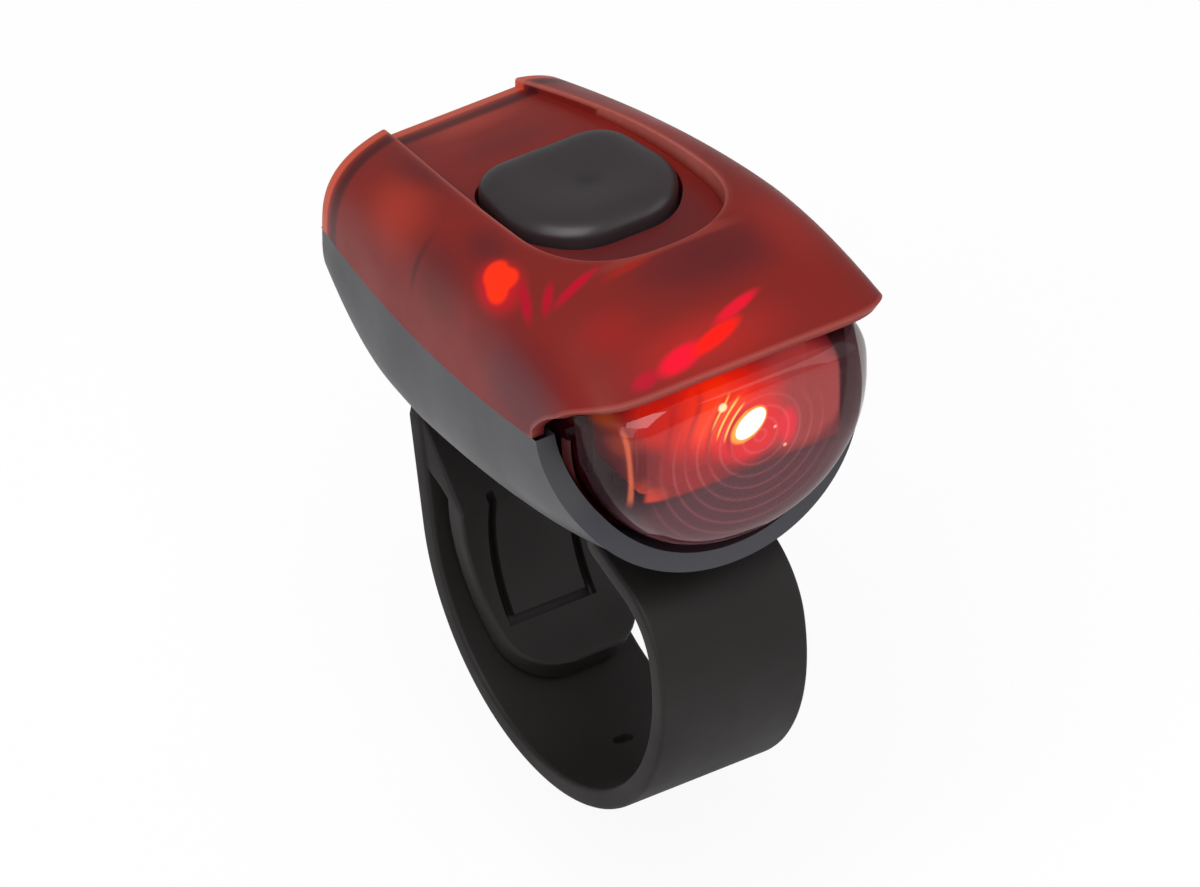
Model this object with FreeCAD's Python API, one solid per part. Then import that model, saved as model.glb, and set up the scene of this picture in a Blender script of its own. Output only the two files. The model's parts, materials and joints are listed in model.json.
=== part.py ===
import FreeCAD, Part
import math
import os

# Rechargeable bicycle tail light on a silicone strap.
# Millimetres. The origin is on the axis of the bar that the light straps to,
# at mid width. +Z is up, the lens looks along -Y and X runs along the bar.

V = FreeCAD.Vector
X_AXIS = V(1, 0, 0)
Y_AXIS = V(0, 1, 0)
Z_AXIS = V(0, 0, 1)

# The bar and the soft faces that grip it
bar_radius = 12.7
bar_clearance = 0.1
grip_length = 11.5
grip_radius = bar_radius + bar_clearance

# Moulded body, seen along its length: back end, highest point and nose
body_back = 25.6
peak_forward = 5.0
nose_forward = 23.0
half_width_back = 12.95
half_width_front = 16.0
flank_power = 2.4
seam_low = 26.95
seam_low_at = 19.0
seam_bow_radius = 185.0
top_back = 35.35
top_peak = 41.25
top_front = 36.0
roof_slope_power = 1.75
bottom_flat = 14.0
stern_rise = 6.0
stern_length = 11.2
bow_rise = 1.1
bow_length = 15.0
roof_power_back = 3.0
roof_power_front = 4.1
roof_power_until = 0.6
keel_power_back = 3.8
keel_power_front = 2.05
keel_power_from = 0.33
keel_power_until = 0.87
section_points = 28
section_stops = (0.0, 0.085, 0.22, 0.38, 0.54, 0.7, 0.86, 1.0)
hollow_stops = (0.0, 0.13, 0.32, 0.54, 0.78, 1.0)

# Walls
cover_wall = 1.5
visor_edge = 0.55
visor_thin_from = 8.0
housing_wall = 1.9
end_wall = 1.5
over = 1.0

# Front outlines in plan, blunt with rounded corners: where they start and how far they bulge
front_side_power = 7.0
front_nose_power = 3.0
front_points = 25
visor_start = 12.3
visor_bulge = 8.6
brow_line = ((11.9, 30.1), (13.2, 32.0), (15.0, 33.7), (17.8, 34.9), (22.5, 35.7))
lip_start = 15.3
lip_bulge = 3.6
lip_lean = -0.27
lip_lean_from = 15.0

# Channel let into the roof for the button
channel_half_back = 6.5
channel_half_front = 9.3
channel_straight_from = 1.0
channel_front = 8.1
channel_nose_power = 2.6
rail_height_back = 0.9
rail_height_front = 2.1

# Lens
lens_start = 11.0
lens_bulge = 11.0
lens_half_width = 13.5
lens_centre_z = 30.3
lens_up = 5.8
lens_down = 13.3
lens_wall = 1.5
lens_stops = (0.0, 0.5, 0.75, 0.88, 0.96, 1.0)
lens_nose_power = 4.0
lens_side_power = 7.5
lens_crown_scale = 0.5
lens_roof_power = 4.1
lens_keel_power = 2.1
fresnel_radius = 6.2
fresnel_ridge = 0.9
fresnel_pitch = 1.44
fresnel_step = 0.35
fresnel_root = 0.2
lens_gasket_back = 11.6
lens_gasket_set_back = 1.4

# Seam gasket
gasket_inset = 0.45
gasket_width = 0.6
gasket_height = 0.5

# Button, its seal and the switch under it
button_back = 12.0
button_front = 2.5
button_side_at = 2.2
button_half_back = 7.1
button_half_side = 8.4
button_half_front = 4.4
button_corner_back = 2.8
button_corner_side = 4.0
button_corner_front = 3.4
button_proud = 2.0
button_edge_round = 1.1
button_dish_depth = 0.35
button_dish_radius = 5.2
button_gap = 0.3
button_flange = 1.2
button_flange_thickness = 1.0
button_seal_least = 0.55
button_travel = 0.6
switch_body = 6.0
switch_body_height = 3.5
plunger_radius = 1.6
plunger_free = 3.5
plunger_sunk = 1.0
plunger_bore_gap = 0.08
plunger_seat_gap = 0.05
plunger_edge = 0.3
plunger_play = 0.35
collar_wall = 0.8
collar_height = 0.6
nub_radius = 2.0

# Boards
board_bottom = 25.1
board_thickness = 1.2
board_back = 23.4
board_front = 8.0
board_half_width = 11.4
board_corner = 2.0
led_board_back = 9.2
led_board_thickness = 0.8
led_board_half_width = 8.6
led_board_bottom = 18.6
led_board_top = 34.6
led_board_step = 0.8
board_slot_gap = 0.05
cradle_half_width = 6.0
cradle_top = 20.0
cradle_wall = 0.9

# Parts soldered to the main board
big_part_x = 5.3
big_part_back = 11.2
charger_side = 4.0
charger_height = 1.0
coil_side = 4.2
coil_height = 2.2
small_part_length = 2.0
small_part_width = 1.2
small_part_height = 0.9
small_part_pitch = 3.5
small_part_x = -6.0
small_part_back = 16.6
small_part_count = 3
edge_part_x = 7.8
edge_part_forward = 3.3
edge_part_length = 2.5
edge_part_width = 1.4
edge_part_height = 1.1
driver_length = 5.2
driver_width = 2.2
driver_forward = 4.0
driver_height = 1.4
header_half_length = 4.2
header_width = 2.2
header_height = 2.0
header_inset = 0.4
header_pin = 0.6
header_pitch = 2.0
header_pins = 4

# Lamps
led_z = 28.4
led_radius = 2.5
led_flange_radius = 2.9
led_flange = 1.0
led_body = 3.6
reflector_half_width = 8.6
reflector_bottom = 23.0
reflector_top = 33.6
reflector_front = 16.8
reflector_rim = 1.0
reflector_recess = 0.9
reflector_corner = 1.5
cup_mouth_radius = 5.0
cup_throat_gap = 0.2
side_led_x = 8.0
side_led_back = 5.6
side_led_length = 3.5
side_led_width = 2.8
side_led_height = 1.9
side_led_well_floor = 0.9
side_led_well_mouth = 1.2
side_led_well_depth = 0.5
charge_led_x = 5.5
charge_led_back = 19.0
charge_led_length = 1.6
charge_led_width = 0.8
charge_led_height = 0.6

# Battery
battery_bottom = 17.0
battery_thickness = 5.6
battery_half_width = 9.4
battery_back = 15.0
battery_front = 2.6
battery_edge_round = 2.1
tape_half_width = 5.5
tape_margin = 2.5
foam_margin = 2.0
lead_radius = 0.45
lead_x = 2.6
lead_pitch = 2.0
lead_reach = 2.3
lead_bend = 1.95
lead_height_share = 0.55

# Charging port
port_z = 23.8
usb_half_width = 3.8
usb_height = 2.6
usb_length = 5.4
usb_shell = 0.3
usb_mouth_inset = 0.9
usb_back_wall = 0.8
usb_tongue_half = 2.2
usb_tongue_low = 0.1
usb_tongue_thickness = 0.5
port_gap = 0.4
port_corner_share = 0.45
flap_half_width = 6.6
flap_thickness = 1.3
flap_corner = 1.4
flap_bead_gap = 0.3
flap_plug_edge = 0.35
flap_lift_half = 2.0
flap_lift_out = 0.6
flap_lift_height = 0.8
flap_lift_below = 0.5
flap_above_port = 1.3
flap_plug_depth = 0.7
flap_plug_gap = 0.5
flap_hinge_z = 21.9
flap_hinge_radius = 0.75
flap_hinge_gap = 0.05
flap_hinge_out = 0.85
flap_stand_off = 0.05
flap_bracket_wall = 0.7
flap_bracket_length = 1.6
flap_bracket_gap = 0.3
flap_bracket_foot = 0.6

# Screws
screw_x_back = 9.8
screw_back = 18.6
screw_x_front = 10.6
screw_front = 6.0
screw_seat_z = 20.6
screw_radius = 1.0
screw_head_radius = 1.9
screw_head_height = 1.3
screw_length = 10.5
screw_slot_width = 0.5
screw_slot_depth = 0.6
screw_slot_reach = 1.2
post_radius = 2.2
post_foot_radius = 3.1
screw_bore_gap = 0.15
screw_tip_gap = 0.6
board_hole_gap = 0.2

# Strap
strap_half_width = 7.4
strap_thickness = 1.9
loop_drop = 1.4
loop_radius = 19.0
corner_radius = 8.0
corner_crown = 10.3
tab_rise_angle = 18.0
tab_end_forward = 5.2
tab_end_round = 3.2
pin_back = 20.8
pin_z = 13.0
pin_radius = 1.0
eye_wall = 1.3
eye_gap = 0.05
eye_half_width = 5.3
lug_thickness = 1.7
lug_gap = 0.3
lug_rise = 9.95
pin_chamfer = 0.2
shoulder_gap = 0.5
slot_half_width = 1.6
slot_half_length = 2.3
peg_forward = 7.7
peg_radius = 1.25
peg_short_of_bar = 0.35
peg_round_share = 0.45
dimple_length = 1.9
dimple_width = 1.2
dimple_depth = 0.6
dimple_angle = 275.0

# Tongue inside the loop and the saddle pad above the bar
tongue_thickness = 2.4
tongue_start_angle = 170.0
tongue_end_angle = 250.0
tongue_root_z = 8.6
tongue_root_depth = 5.2
tongue_tip_round = 5.6
tongue_tip_steps = 6
pocket_half_width = 3.7
pocket_start_angle = 166.0
pocket_end_angle = 226.0
pocket_groove = 0.8
pocket_depth = 0.9
saddle_front_angle = 70.0
saddle_back_angle = 136.0

NODES = {}


def node(name, shape):
    """Keep a finished piece under its name and report its size."""
    solids = shape.Solids
    NODES[name] = solids[0] if len(solids) == 1 else Part.makeCompound(solids)
    print(name, "solids", len(solids), "volume", round(shape.Volume, 2), shape.isValid())


def merged(shape):
    """Join faces that lie on one surface, where that leaves the solid sound."""
    joined = shape.copy().removeSplitter()
    return joined if joined.isValid() else shape


def box(x0, x1, y0, y1, z0, z1):
    """A box between two corners."""
    return Part.makeBox(x1 - x0, y1 - y0, z1 - z0, V(x0, y0, z0))


def face_from(points):
    """A flat face inside a closed polygon."""
    return Part.Face(Part.makePolygon([V(*point) for point in points] + [V(*points[0])]))


def ends_between(solid, axis, at):
    """The edges of a solid that run along an axis and pass near a place in the other two."""
    found = []
    for edge in solid.Edges:
        first, last = edge.Vertexes[0].Point, edge.Vertexes[-1].Point
        along = last - first
        if along.Length < 1e-6 or abs(abs(along.normalize() * axis) - 1) > 1e-4:
            continue
        for place in at:
            gap = first - place
            gap = gap - axis * (gap * axis)
            if gap.Length < 0.05:
                found.append(edge)
    return found


# Shape of the moulded body

def body_share(y):
    """0 at the back end of the body and 1 at its nose."""
    return (body_back - y) / (body_back + nose_forward)


def seam_z(y):
    """Height of the joint between cover and housing, a shallow arc lowest near the back."""
    run = seam_low_at - y
    return seam_low + seam_bow_radius - math.sqrt(seam_bow_radius ** 2 - run ** 2)


def half_width(y):
    """Half width of the body, widening quickly from the back."""
    share = min(1.0, body_share(y))
    return half_width_back + (half_width_front - half_width_back) * (1 - (1 - share) ** flank_power)


def top_z(y):
    """Height of the roof line on the centre plane."""
    if y > -peak_forward:
        share = (y + peak_forward) / (body_back + peak_forward)
        return top_peak - (top_peak - top_back) * share ** roof_slope_power
    share = (-peak_forward - y) / (nose_forward - peak_forward)
    return top_peak - (top_peak - top_front) * share ** 2


def bottom_z(y):
    """Height of the keel: flat, lifted at the stern and a little at the bow."""
    behind = max(0.0, y - (body_back - stern_length)) / stern_length
    ahead = max(0.0, (bow_length - nose_forward) - y) / bow_length
    return bottom_flat + stern_rise * behind ** 2 + bow_rise * ahead ** 2


def roof_power(y):
    """How square the upper corners are, rounder at the back."""
    share = min(1.0, max(0.0, body_share(y) / roof_power_until))
    return roof_power_back + (roof_power_front - roof_power_back) * share


def keel_power(y):
    """How square the lower corners are, boxy behind and round at the lens."""
    share = (body_share(y) - keel_power_from) / (keel_power_until - keel_power_from)
    share = min(1.0, max(0.0, share))
    return keel_power_back + (keel_power_front - keel_power_back) * share


def rounded_loop(y, centre_z, half, up, down, up_power, down_power, smooth=True):
    """A closed outline across the body: a rounded box about a centre, smooth or in short straight steps."""
    points = []
    for index in range(section_points):
        angle = 2 * math.pi * (index + 0.5) / section_points
        c, s = math.cos(angle), math.sin(angle)
        power = up_power if s > 0 else down_power
        reach = (abs(c) ** power + abs(s) ** power) ** (-1 / power)
        points.append(V(half * reach * c, y, centre_z + (up if s > 0 else down) * reach * s))
    if not smooth:
        return Part.makePolygon(points + [points[0]])
    curve = Part.BSplineCurve()
    curve.interpolate(points, PeriodicFlag=True)
    return Part.Wire(curve.toShape())


def body_section(y, side, roof, floor, smooth):
    """The body's outline at y, drawn in by the given walls."""
    seam = seam_z(y)
    up = top_z(y) - roof - seam
    down = seam - bottom_z(y) - floor
    return rounded_loop(y, seam, half_width(y) - side, up, down, roof_power(y), keel_power(y), smooth)


def visor_share(y):
    """0 where the cover's wall is full and 1 at the visor's edge."""
    share = (-visor_thin_from - y) / (visor_start + visor_bulge - visor_thin_from)
    return min(1.0, max(0.0, share))


def body_solid(side=0.0, roof=0.0, floor=0.0, end=0.0, thinned=0.0):
    """The whole body without its front cut, drawn in by the given walls.

    The outside is smooth and a hollow is made of plain strips. The side and
    roof walls can thin by an amount towards the visor's edge."""
    length = body_back + nose_forward
    smooth = side == 0.0
    sections = []
    for stop in section_stops if smooth else hollow_stops:
        y = body_back - stop * length
        if stop == 0.0:
            y -= end
        less = thinned * visor_share(y)
        sections.append(body_section(y, side - less, roof - less, floor, smooth))
    return Part.makeLoft(sections, True, not smooth)


def high_up():
    """A height above everything, for blocks that cut."""
    return 1.25 * top_peak


def front_plan(start, bulge, lean_forward, lean_from):
    """A tall block whose plan is open behind and ends in the blunt front outline.

    The outline holds at one height and moves forward above it, or back if the lean is negative."""
    half = half_width_front
    points = []
    for index in range(front_points):
        x = -half * math.cos(math.pi * index / (front_points - 1))
        ahead = bulge * max(0.0, 1 - abs(x / half) ** front_side_power) ** (1 / front_nose_power)
        points.append(V(x, -(start + ahead), 0))
    curve = Part.BSplineCurve()
    curve.interpolate(points)
    back = 2 * body_back
    wide = half + over
    corners = [points[-1], V(wide, points[-1].y, 0), V(wide, back, 0), V(-wide, back, 0),
               V(-wide, points[0].y, 0), points[0]]
    sides = Part.makePolygon(corners)
    outline = Part.Wire([curve.toShape()] + sides.Edges)
    height = high_up()
    block = Part.Face(outline).extrude(V(0, -lean_forward * height, height))
    block.translate(V(0, lean_forward * lean_from, 0))
    return block


def visor_plan():
    return front_plan(visor_start, visor_bulge, 0.0, 0.0)


def brow_cut():
    """What is cut from the cover's sides in front, under the line that rises to the visor."""
    wide = half_width_front + over
    line = [V(-wide, -ahead, height) for ahead, height in brow_line]
    first, last = line[0], line[-1]
    low = bottom_flat
    far = -(nose_forward + over)
    rest = Part.makePolygon([last, V(-wide, far, last.z), V(-wide, far, low), V(-wide, first.y, low), first])
    return Part.Face(Part.Wire([spline_edge(line)] + rest.Edges)).extrude(V(2 * wide, 0, 0))


def lip_plan(set_back=0.0):
    return front_plan(lip_start - set_back, lip_bulge, lip_lean, lip_lean_from)


def above_seam(offset=0.0):
    """Everything above the bowed seam, or above a surface parallel to it."""
    y0, y2 = body_back + over, -(nose_forward + over)
    y1 = (y0 + y2) / 2
    high = high_up()
    wide = half_width_front + over
    low = [V(-wide, y, seam_z(y) + offset) for y in (y0, y1, y2)]
    arc = Part.Arc(low[0], low[1], low[2]).toShape()
    rest = Part.makePolygon([low[2], V(-wide, y2, high), V(-wide, y0, high), low[0]])
    return Part.Face(Part.Wire([arc] + rest.Edges)).extrude(V(2 * wide, 0, 0))


# Channel in the roof

def channel_half(y):
    """Half width of the channel, widening to the front."""
    if y < channel_straight_from:
        return channel_half_front
    share = (body_back - y) / (body_back - channel_straight_from)
    return channel_half_back + (channel_half_front - channel_half_back) * math.sin(share * math.pi / 2)


def roof_z(x, y):
    """Height of the roof at a place."""
    seam = seam_z(y)
    side = abs(x) / half_width(y)
    power = roof_power(y)
    return seam + (top_z(y) - seam) * (1 - side ** power) ** (1 / power)


def floor_mark(y):
    """A mark for the channel's floor, set down from the edge of the roof beside it."""
    share = (body_back - y) / (body_back + channel_front)
    depth = rail_height_back + (rail_height_front - rail_height_back) * share
    return roof_z(channel_half(y), y) - depth


def floor_arc():
    """The arc through three marks that the channel's floor follows."""
    marks = [V(0, y, floor_mark(y)) for y in (body_back, (body_back - channel_front) / 2, -channel_front)]
    return Part.Arc(*marks).toShape().Curve


channel_arc = floor_arc()


def floor_z(y):
    """Height of the channel's floor, which bends as one arc from its back to its nose."""
    return channel_arc.Center.z + math.sqrt(channel_arc.Radius ** 2 - (y - channel_arc.Center.y) ** 2)


def channel_plan(wider):
    """Half of the channel's rounded outline in plan, from its back end to the nose."""
    flank = []
    for share in (0.0, 0.35, 0.7, 1.0):
        y = body_back - share * (body_back - channel_straight_from)
        flank.append(V(channel_half(y) + wider, y, 0))
    nose = []
    half = channel_half_front + wider
    reach = channel_straight_from + channel_front + wider
    for degrees in (0, 15, 30, 45, 60, 75, 90):
        angle = math.radians(degrees)
        x = half * math.cos(angle) ** (2 / channel_nose_power)
        ahead = reach * math.sin(angle) ** (2 / channel_nose_power)
        nose.append(V(x, channel_straight_from - ahead, 0))
    return flank, nose


def mirrored(points):
    """The same points on the other side of the centre plane, in reverse order."""
    return [V(-point.x, point.y, point.z) for point in reversed(points)]


def spline_edge(points):
    curve = Part.BSplineCurve()
    curve.interpolate(points)
    return curve.toShape()


def channel_tool(wider=0.0, deeper=0.0):
    """The space of the channel, or that space grown to leave a wall round it."""
    back = body_back + 3 * over
    flank, nose = channel_plan(wider)
    nose[-1] = V(0, nose[-1].y, 0)
    cap = nose + mirrored(nose)[1:]
    start = flank[0]
    tail = Part.makePolygon([V(-start.x, start.y, 0), V(-start.x, back, 0), V(start.x, back, 0), start])
    edges = [spline_edge(flank), spline_edge(cap), spline_edge(mirrored(flank))]
    high = high_up()
    prism = Part.Face(Part.Wire(edges + tail.Edges)).extrude(V(0, 0, high))
    front = -(channel_front + wider)
    wide = half_width_front
    low = [V(-wide, y, floor_z(y) - deeper) for y in (body_back, (body_back + front) / 2, front)]
    arc = Part.Arc(low[0], low[1], low[2]).toShape()
    slope = (low[1].z - low[0].z) / (low[0].y - low[1].y)
    rest = Part.makePolygon([low[2], V(-wide, front - over, low[2].z), V(-wide, front - over, high),
                             V(-wide, back, high), V(-wide, back, low[0].z - slope * (back - body_back)), low[0]])
    side = Part.Face(Part.Wire([arc] + rest.Edges)).extrude(V(2 * wide, 0, 0))
    return prism.common(side)


# The button leans with the floor it stands on

button_middle = (button_back - button_front) / 2
button_floor = floor_z(button_middle)
button_lean = math.degrees(math.atan2(floor_z(-button_front) - floor_z(button_back),
                                      button_back + button_front))


def lean(shape):
    """Turn and lift a shape that was drawn flat, with its floor at z = 0, to the channel's floor."""
    placed = shape.copy()
    placed.rotate(V(0, button_middle, 0), X_AXIS, -button_lean)
    placed.translate(V(0, 0, button_floor))
    return placed


def button_outline(grow, z0, z1):
    """The button's rounded D outline as a block between two heights."""
    half_back, half_side = button_half_back + grow, button_half_side + grow
    half_front = button_half_front + grow
    back, front = button_back + grow, -(button_front + grow)
    corners = [(half_back, back), (half_side, button_side_at), (half_front, front),
               (-half_front, front), (-half_side, button_side_at), (-half_back, back)]
    solid = face_from([(x, y, z0) for x, y in corners]).extrude(V(0, 0, z1 - z0))
    rounds = ((half_back, back, button_corner_back), (half_side, button_side_at, button_corner_side),
              (half_front, front, button_corner_front))
    for x, y, radius in rounds:
        edges = ends_between(solid, Z_AXIS, [V(x, y, 0), V(-x, y, 0)])
        solid = solid.makeFillet(radius + grow, edges)
    return solid


def board_top():
    return board_bottom + board_thickness


def plunger_top():
    return board_top() + switch_body_height + plunger_free


def post_places():
    """Centres of the four screw posts."""
    return [(screw_x_back, screw_back), (-screw_x_back, screw_back),
            (screw_x_front, -screw_front), (-screw_x_front, -screw_front)]


def upright(x, y, radius, z0, z1):
    """A vertical cylinder."""
    return Part.makeCylinder(radius, z1 - z0, V(x, y, z0), Z_AXIS)


def crosswise(y, z, radius, half):
    """A cylinder along X, centred on the middle plane."""
    return Part.makeCylinder(radius, 2 * half, V(-half, y, z), X_AXIS)


# Upper shell

def make_top_cover():
    outer = body_solid().common(above_seam()).common(visor_plan()).cut(brow_cut())
    hollow = body_solid(cover_wall, cover_wall, 0.0, end_wall, cover_wall - visor_edge)
    hollow = hollow.cut(channel_tool(cover_wall, cover_wall))
    shell = outer.cut(hollow)
    posts = []
    for x, y in post_places():
        posts.append(upright(x, y, post_radius, bottom_flat, top_peak))
    posts = posts[0].fuse(posts[1:]).common(hollow).common(above_seam())
    shell = shell.fuse(posts)
    shell = shell.cut(channel_tool())
    well = lean(button_outline(button_gap, -3 * cover_wall, button_proud))
    shell = shell.cut(well)
    tip = screw_seat_z + screw_length + screw_tip_gap
    for x, y in post_places():
        shell = shell.cut(upright(x, y, screw_radius, bottom_flat, tip))
    node("top_cover", merged(shell))


# Lower shell

def housing_cavity():
    return body_solid(housing_wall, 0.0, housing_wall, end_wall)


def make_lower_housing():
    outer = body_solid().cut(above_seam()).common(lip_plan())
    cavity = housing_cavity()
    shell = outer.cut(cavity)
    room = outer.common(cavity)
    inside = []
    for x, y in post_places():
        inside.append(upright(x, y, post_foot_radius, 0, board_bottom))
        inside.append(upright(x, y, post_radius, 0, top_peak))
    cradle_back = -(led_board_back - cradle_wall)
    cradle_front = -(led_board_back + led_board_thickness + cradle_wall)
    cradle = box(-cradle_half_width, cradle_half_width, cradle_front, cradle_back, 0, cradle_top)
    slot = box(-led_board_half_width - board_slot_gap, led_board_half_width + board_slot_gap,
               -(led_board_back + led_board_thickness + board_slot_gap),
               -(led_board_back - board_slot_gap), led_board_bottom, cradle_top + over)
    inside.append(cradle.cut(slot))
    shell = shell.fuse(inside[0].fuse(inside[1:]).common(room))
    shell = shell.fuse(strap_lugs())
    shell = shell.fuse(strap_peg())
    shell = shell.fuse(flap_brackets())
    for x, y in post_places():
        shell = shell.cut(upright(x, y, screw_radius + screw_bore_gap, 0, top_peak))
        shell = shell.cut(upright(x, y, screw_head_radius + screw_bore_gap, 0, screw_seat_z))
    shell = shell.cut(port_hole())
    shell = shell.cut(gasket_ring())
    node("lower_housing", shell)


def gasket_ring():
    """A thin ring in the rim of the housing, flush with the seam."""
    outside = body_solid(gasket_inset, gasket_inset, gasket_inset, gasket_inset)
    within = gasket_inset + gasket_width
    ring = outside.cut(body_solid(within, within, within, within))
    ring = ring.cut(above_seam()).common(above_seam(-gasket_height))
    wide = half_width_front + over
    behind = box(-wide, wide, -(led_board_back + over), body_back + over, 0, top_peak)
    return ring.common(behind)


def port_hole():
    """The charging port's opening in the back wall."""
    half = usb_half_width + port_gap
    high = usb_height / 2 + port_gap
    hole = box(-half, half, body_back - end_wall - over, body_back + over, port_z - high, port_z + high)
    edges = [edge for edge in hole.Edges if abs(edge.tangentAt(edge.FirstParameter).y) > 0.99]
    return hole.makeFillet(high * port_corner_share, edges)


def strap_lugs():
    """Two ears under the stern that hold the strap's pin."""
    lug_radius = pin_radius + eye_wall
    lugs = []
    for side in (-1, 1):
        near = side * (eye_half_width + lug_gap)
        far = near + side * lug_thickness
        x0, x1 = min(near, far), max(near, far)
        ear = Part.makeCylinder(lug_radius, x1 - x0, V(x0, pin_back, pin_z), X_AXIS)
        stem = box(x0, x1, pin_back - lug_radius, pin_back + lug_radius, pin_z, pin_z + lug_rise)
        ear = ear.fuse(stem)
        lugs.append(ear.cut(Part.makeCylinder(pin_radius, x1 - x0, V(x0, pin_back, pin_z), X_AXIS)))
    return lugs[0].fuse(lugs[1]).cut(housing_cavity())


def strap_peg():
    """The peg under the front that the strap's slotted tab drops over."""
    tip = math.sqrt(bar_radius ** 2 - (peg_forward - peg_radius) ** 2) + peg_short_of_bar
    peg = upright(0, -peg_forward, peg_radius, tip, bottom_flat + over)
    rim = [edge for edge in peg.Edges if edge.BoundBox.ZMax < tip + 0.01 and edge.Length > peg_radius]
    peg = peg.makeChamfer(peg_radius * peg_round_share, rim)
    return peg.cut(housing_cavity())


def flap_back():
    """Where the port flap's inner face lies."""
    return body_back + flap_stand_off


def flap_brackets():
    """Two small eyes on the back wall that hold the flap's hinge bead."""
    axis_y = body_back + flap_hinge_out
    outer_radius = flap_hinge_radius + flap_hinge_gap + flap_bracket_wall
    eyes = []
    for side in (-1, 1):
        near = side * (flap_half_width - flap_bracket_length)
        far = side * flap_half_width
        x0, x1 = min(near, far), max(near, far)
        eye = Part.makeCylinder(outer_radius, x1 - x0, V(x0, axis_y, flap_hinge_z), X_AXIS)
        foot = box(x0, x1, body_back - flap_bracket_foot, axis_y,
                   flap_hinge_z - outer_radius, flap_hinge_z + outer_radius)
        bore = Part.makeCylinder(flap_hinge_radius + flap_hinge_gap, x1 - x0, V(x0, axis_y, flap_hinge_z), X_AXIS)
        eyes.append(eye.fuse(foot).cut(bore))
    return eyes[0].fuse(eyes[1])


# Lens

def lens_shape(inset):
    """The dome of the lens, or the same dome drawn in all round."""
    sections = []
    for stop in lens_stops:
        ahead = stop * lens_bulge
        scale = max(lens_crown_scale, (1 - stop ** lens_nose_power) ** (1 / lens_side_power))
        y = -(lens_start + ahead - inset * stop)
        if inset and stop == 0.0:
            y += over
        sections.append(rounded_loop(y, lens_centre_z, lens_half_width * scale - inset,
                                     lens_up * scale - inset, lens_down * scale - inset,
                                     lens_roof_power, lens_keel_power, inset == 0.0))
    return Part.makeLoft(sections, True, True)


def make_front_lens():
    dome = lens_shape(0.0)
    hollow = lens_shape(lens_wall)
    shell = dome.cut(hollow)
    inner_front = -(lens_start + lens_bulge - lens_wall)
    ridges = []
    radius = fresnel_radius
    while radius > fresnel_ridge:
        outer = Part.makeCone(radius, radius - fresnel_ridge + fresnel_step, fresnel_step + fresnel_root,
                              V(0, inner_front - fresnel_root, led_z), Y_AXIS)
        inner = Part.makeCylinder(radius - fresnel_ridge, 2 * over, V(0, inner_front - over, led_z), Y_AXIS)
        ridges.append(outer.cut(inner))
        radius -= fresnel_pitch
    shell = shell.fuse(ridges)
    node("front_lens", merged(shell))


def make_lens_gasket():
    slab = box(-half_width_front, half_width_front, -nose_forward, -lens_gasket_back, 0, top_peak)
    ring = body_solid(housing_wall, housing_wall, housing_wall, end_wall).common(slab)
    ring = ring.common(lip_plan(lens_gasket_set_back)).cut(lens_shape(0.0))
    node("lens_gasket", ring)


def make_housing_gasket():
    node("housing_gasket", gasket_ring())


# Button and switch

def floor_sag():
    """How far the curved floor falls below the button's plane at the ends of its flange."""
    slope = math.tan(math.radians(button_lean))
    ends = (button_back + button_flange, -(button_front + button_flange))
    return max(button_floor - (y - button_middle) * slope - floor_z(y) for y in ends)


def flat_button_heights():
    """Heights below the channel's floor, measured along the button's travel."""
    floor_under = -cover_wall
    seal_under = floor_under - floor_sag() - button_seal_least
    flange_under = seal_under - button_flange_thickness
    return floor_under, seal_under, flange_under


def make_power_button():
    floor_under, seal_under, flange_under = flat_button_heights()
    cap = button_outline(0.0, flange_under, button_proud)
    top = [edge for edge in cap.Edges if edge.BoundBox.ZMin > button_proud - 0.01]
    cap = cap.makeFillet(button_edge_round, top)
    sphere_radius = (button_dish_radius ** 2 + button_dish_depth ** 2) / (2 * button_dish_depth)
    dish = Part.makeSphere(sphere_radius, V(0, button_middle, button_proud + sphere_radius - button_dish_depth))
    cap = cap.cut(dish)
    flange = button_outline(button_flange, flange_under, seal_under)
    cap = lean(cap.fuse(flange))
    nub_bottom = plunger_top() + plunger_play
    nub = upright(0, button_middle, nub_radius, nub_bottom, button_floor - over)
    node("power_button", merged(cap.fuse(nub)))


def make_button_seal():
    floor_under, seal_under, flange_under = flat_button_heights()
    ring = button_outline(button_flange, seal_under, floor_under + button_gap)
    ring = ring.cut(button_outline(button_gap, seal_under - over, floor_under + over))
    node("button_seal", lean(ring).cut(channel_tool(cover_wall, cover_wall)))


def make_switch():
    y = button_middle
    half = switch_body / 2
    top = board_top() + switch_body_height
    body = box(-half, half, y - half, y + half, board_top(), top)
    collar = upright(0, y, plunger_radius + collar_wall, top, top + collar_height)
    body = body.fuse(collar)
    well = upright(0, y, plunger_radius + plunger_bore_gap, top - plunger_sunk - button_travel, top + 2 * over)
    node("switch_body", body.cut(well))
    plunger = upright(0, y, plunger_radius, top - plunger_sunk + plunger_seat_gap, plunger_top())
    rim = [edge for edge in plunger.Edges if edge.BoundBox.ZMin > plunger_top() - 0.01 and edge.Length > plunger_radius]
    node("switch_plunger", plunger.makeChamfer(plunger_edge, rim))


# Electronics

def make_circuit_board():
    board = box(-board_half_width, board_half_width, -board_front, board_back, board_bottom, board_top())
    corners = [edge for edge in board.Edges if edge.BoundBox.ZLength > board_thickness / 2]
    board = board.makeFillet(board_corner, corners)
    for x, y in post_places():
        board = board.cut(upright(x, y, post_radius + board_hole_gap, 0, top_peak))
        outward = box(min(x, 3 * x), max(x, 3 * x), y - post_radius - board_hole_gap,
                      y + post_radius + board_hole_gap, 0, top_peak)
        board = board.cut(outward)
    node("circuit_board", board)


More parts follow.
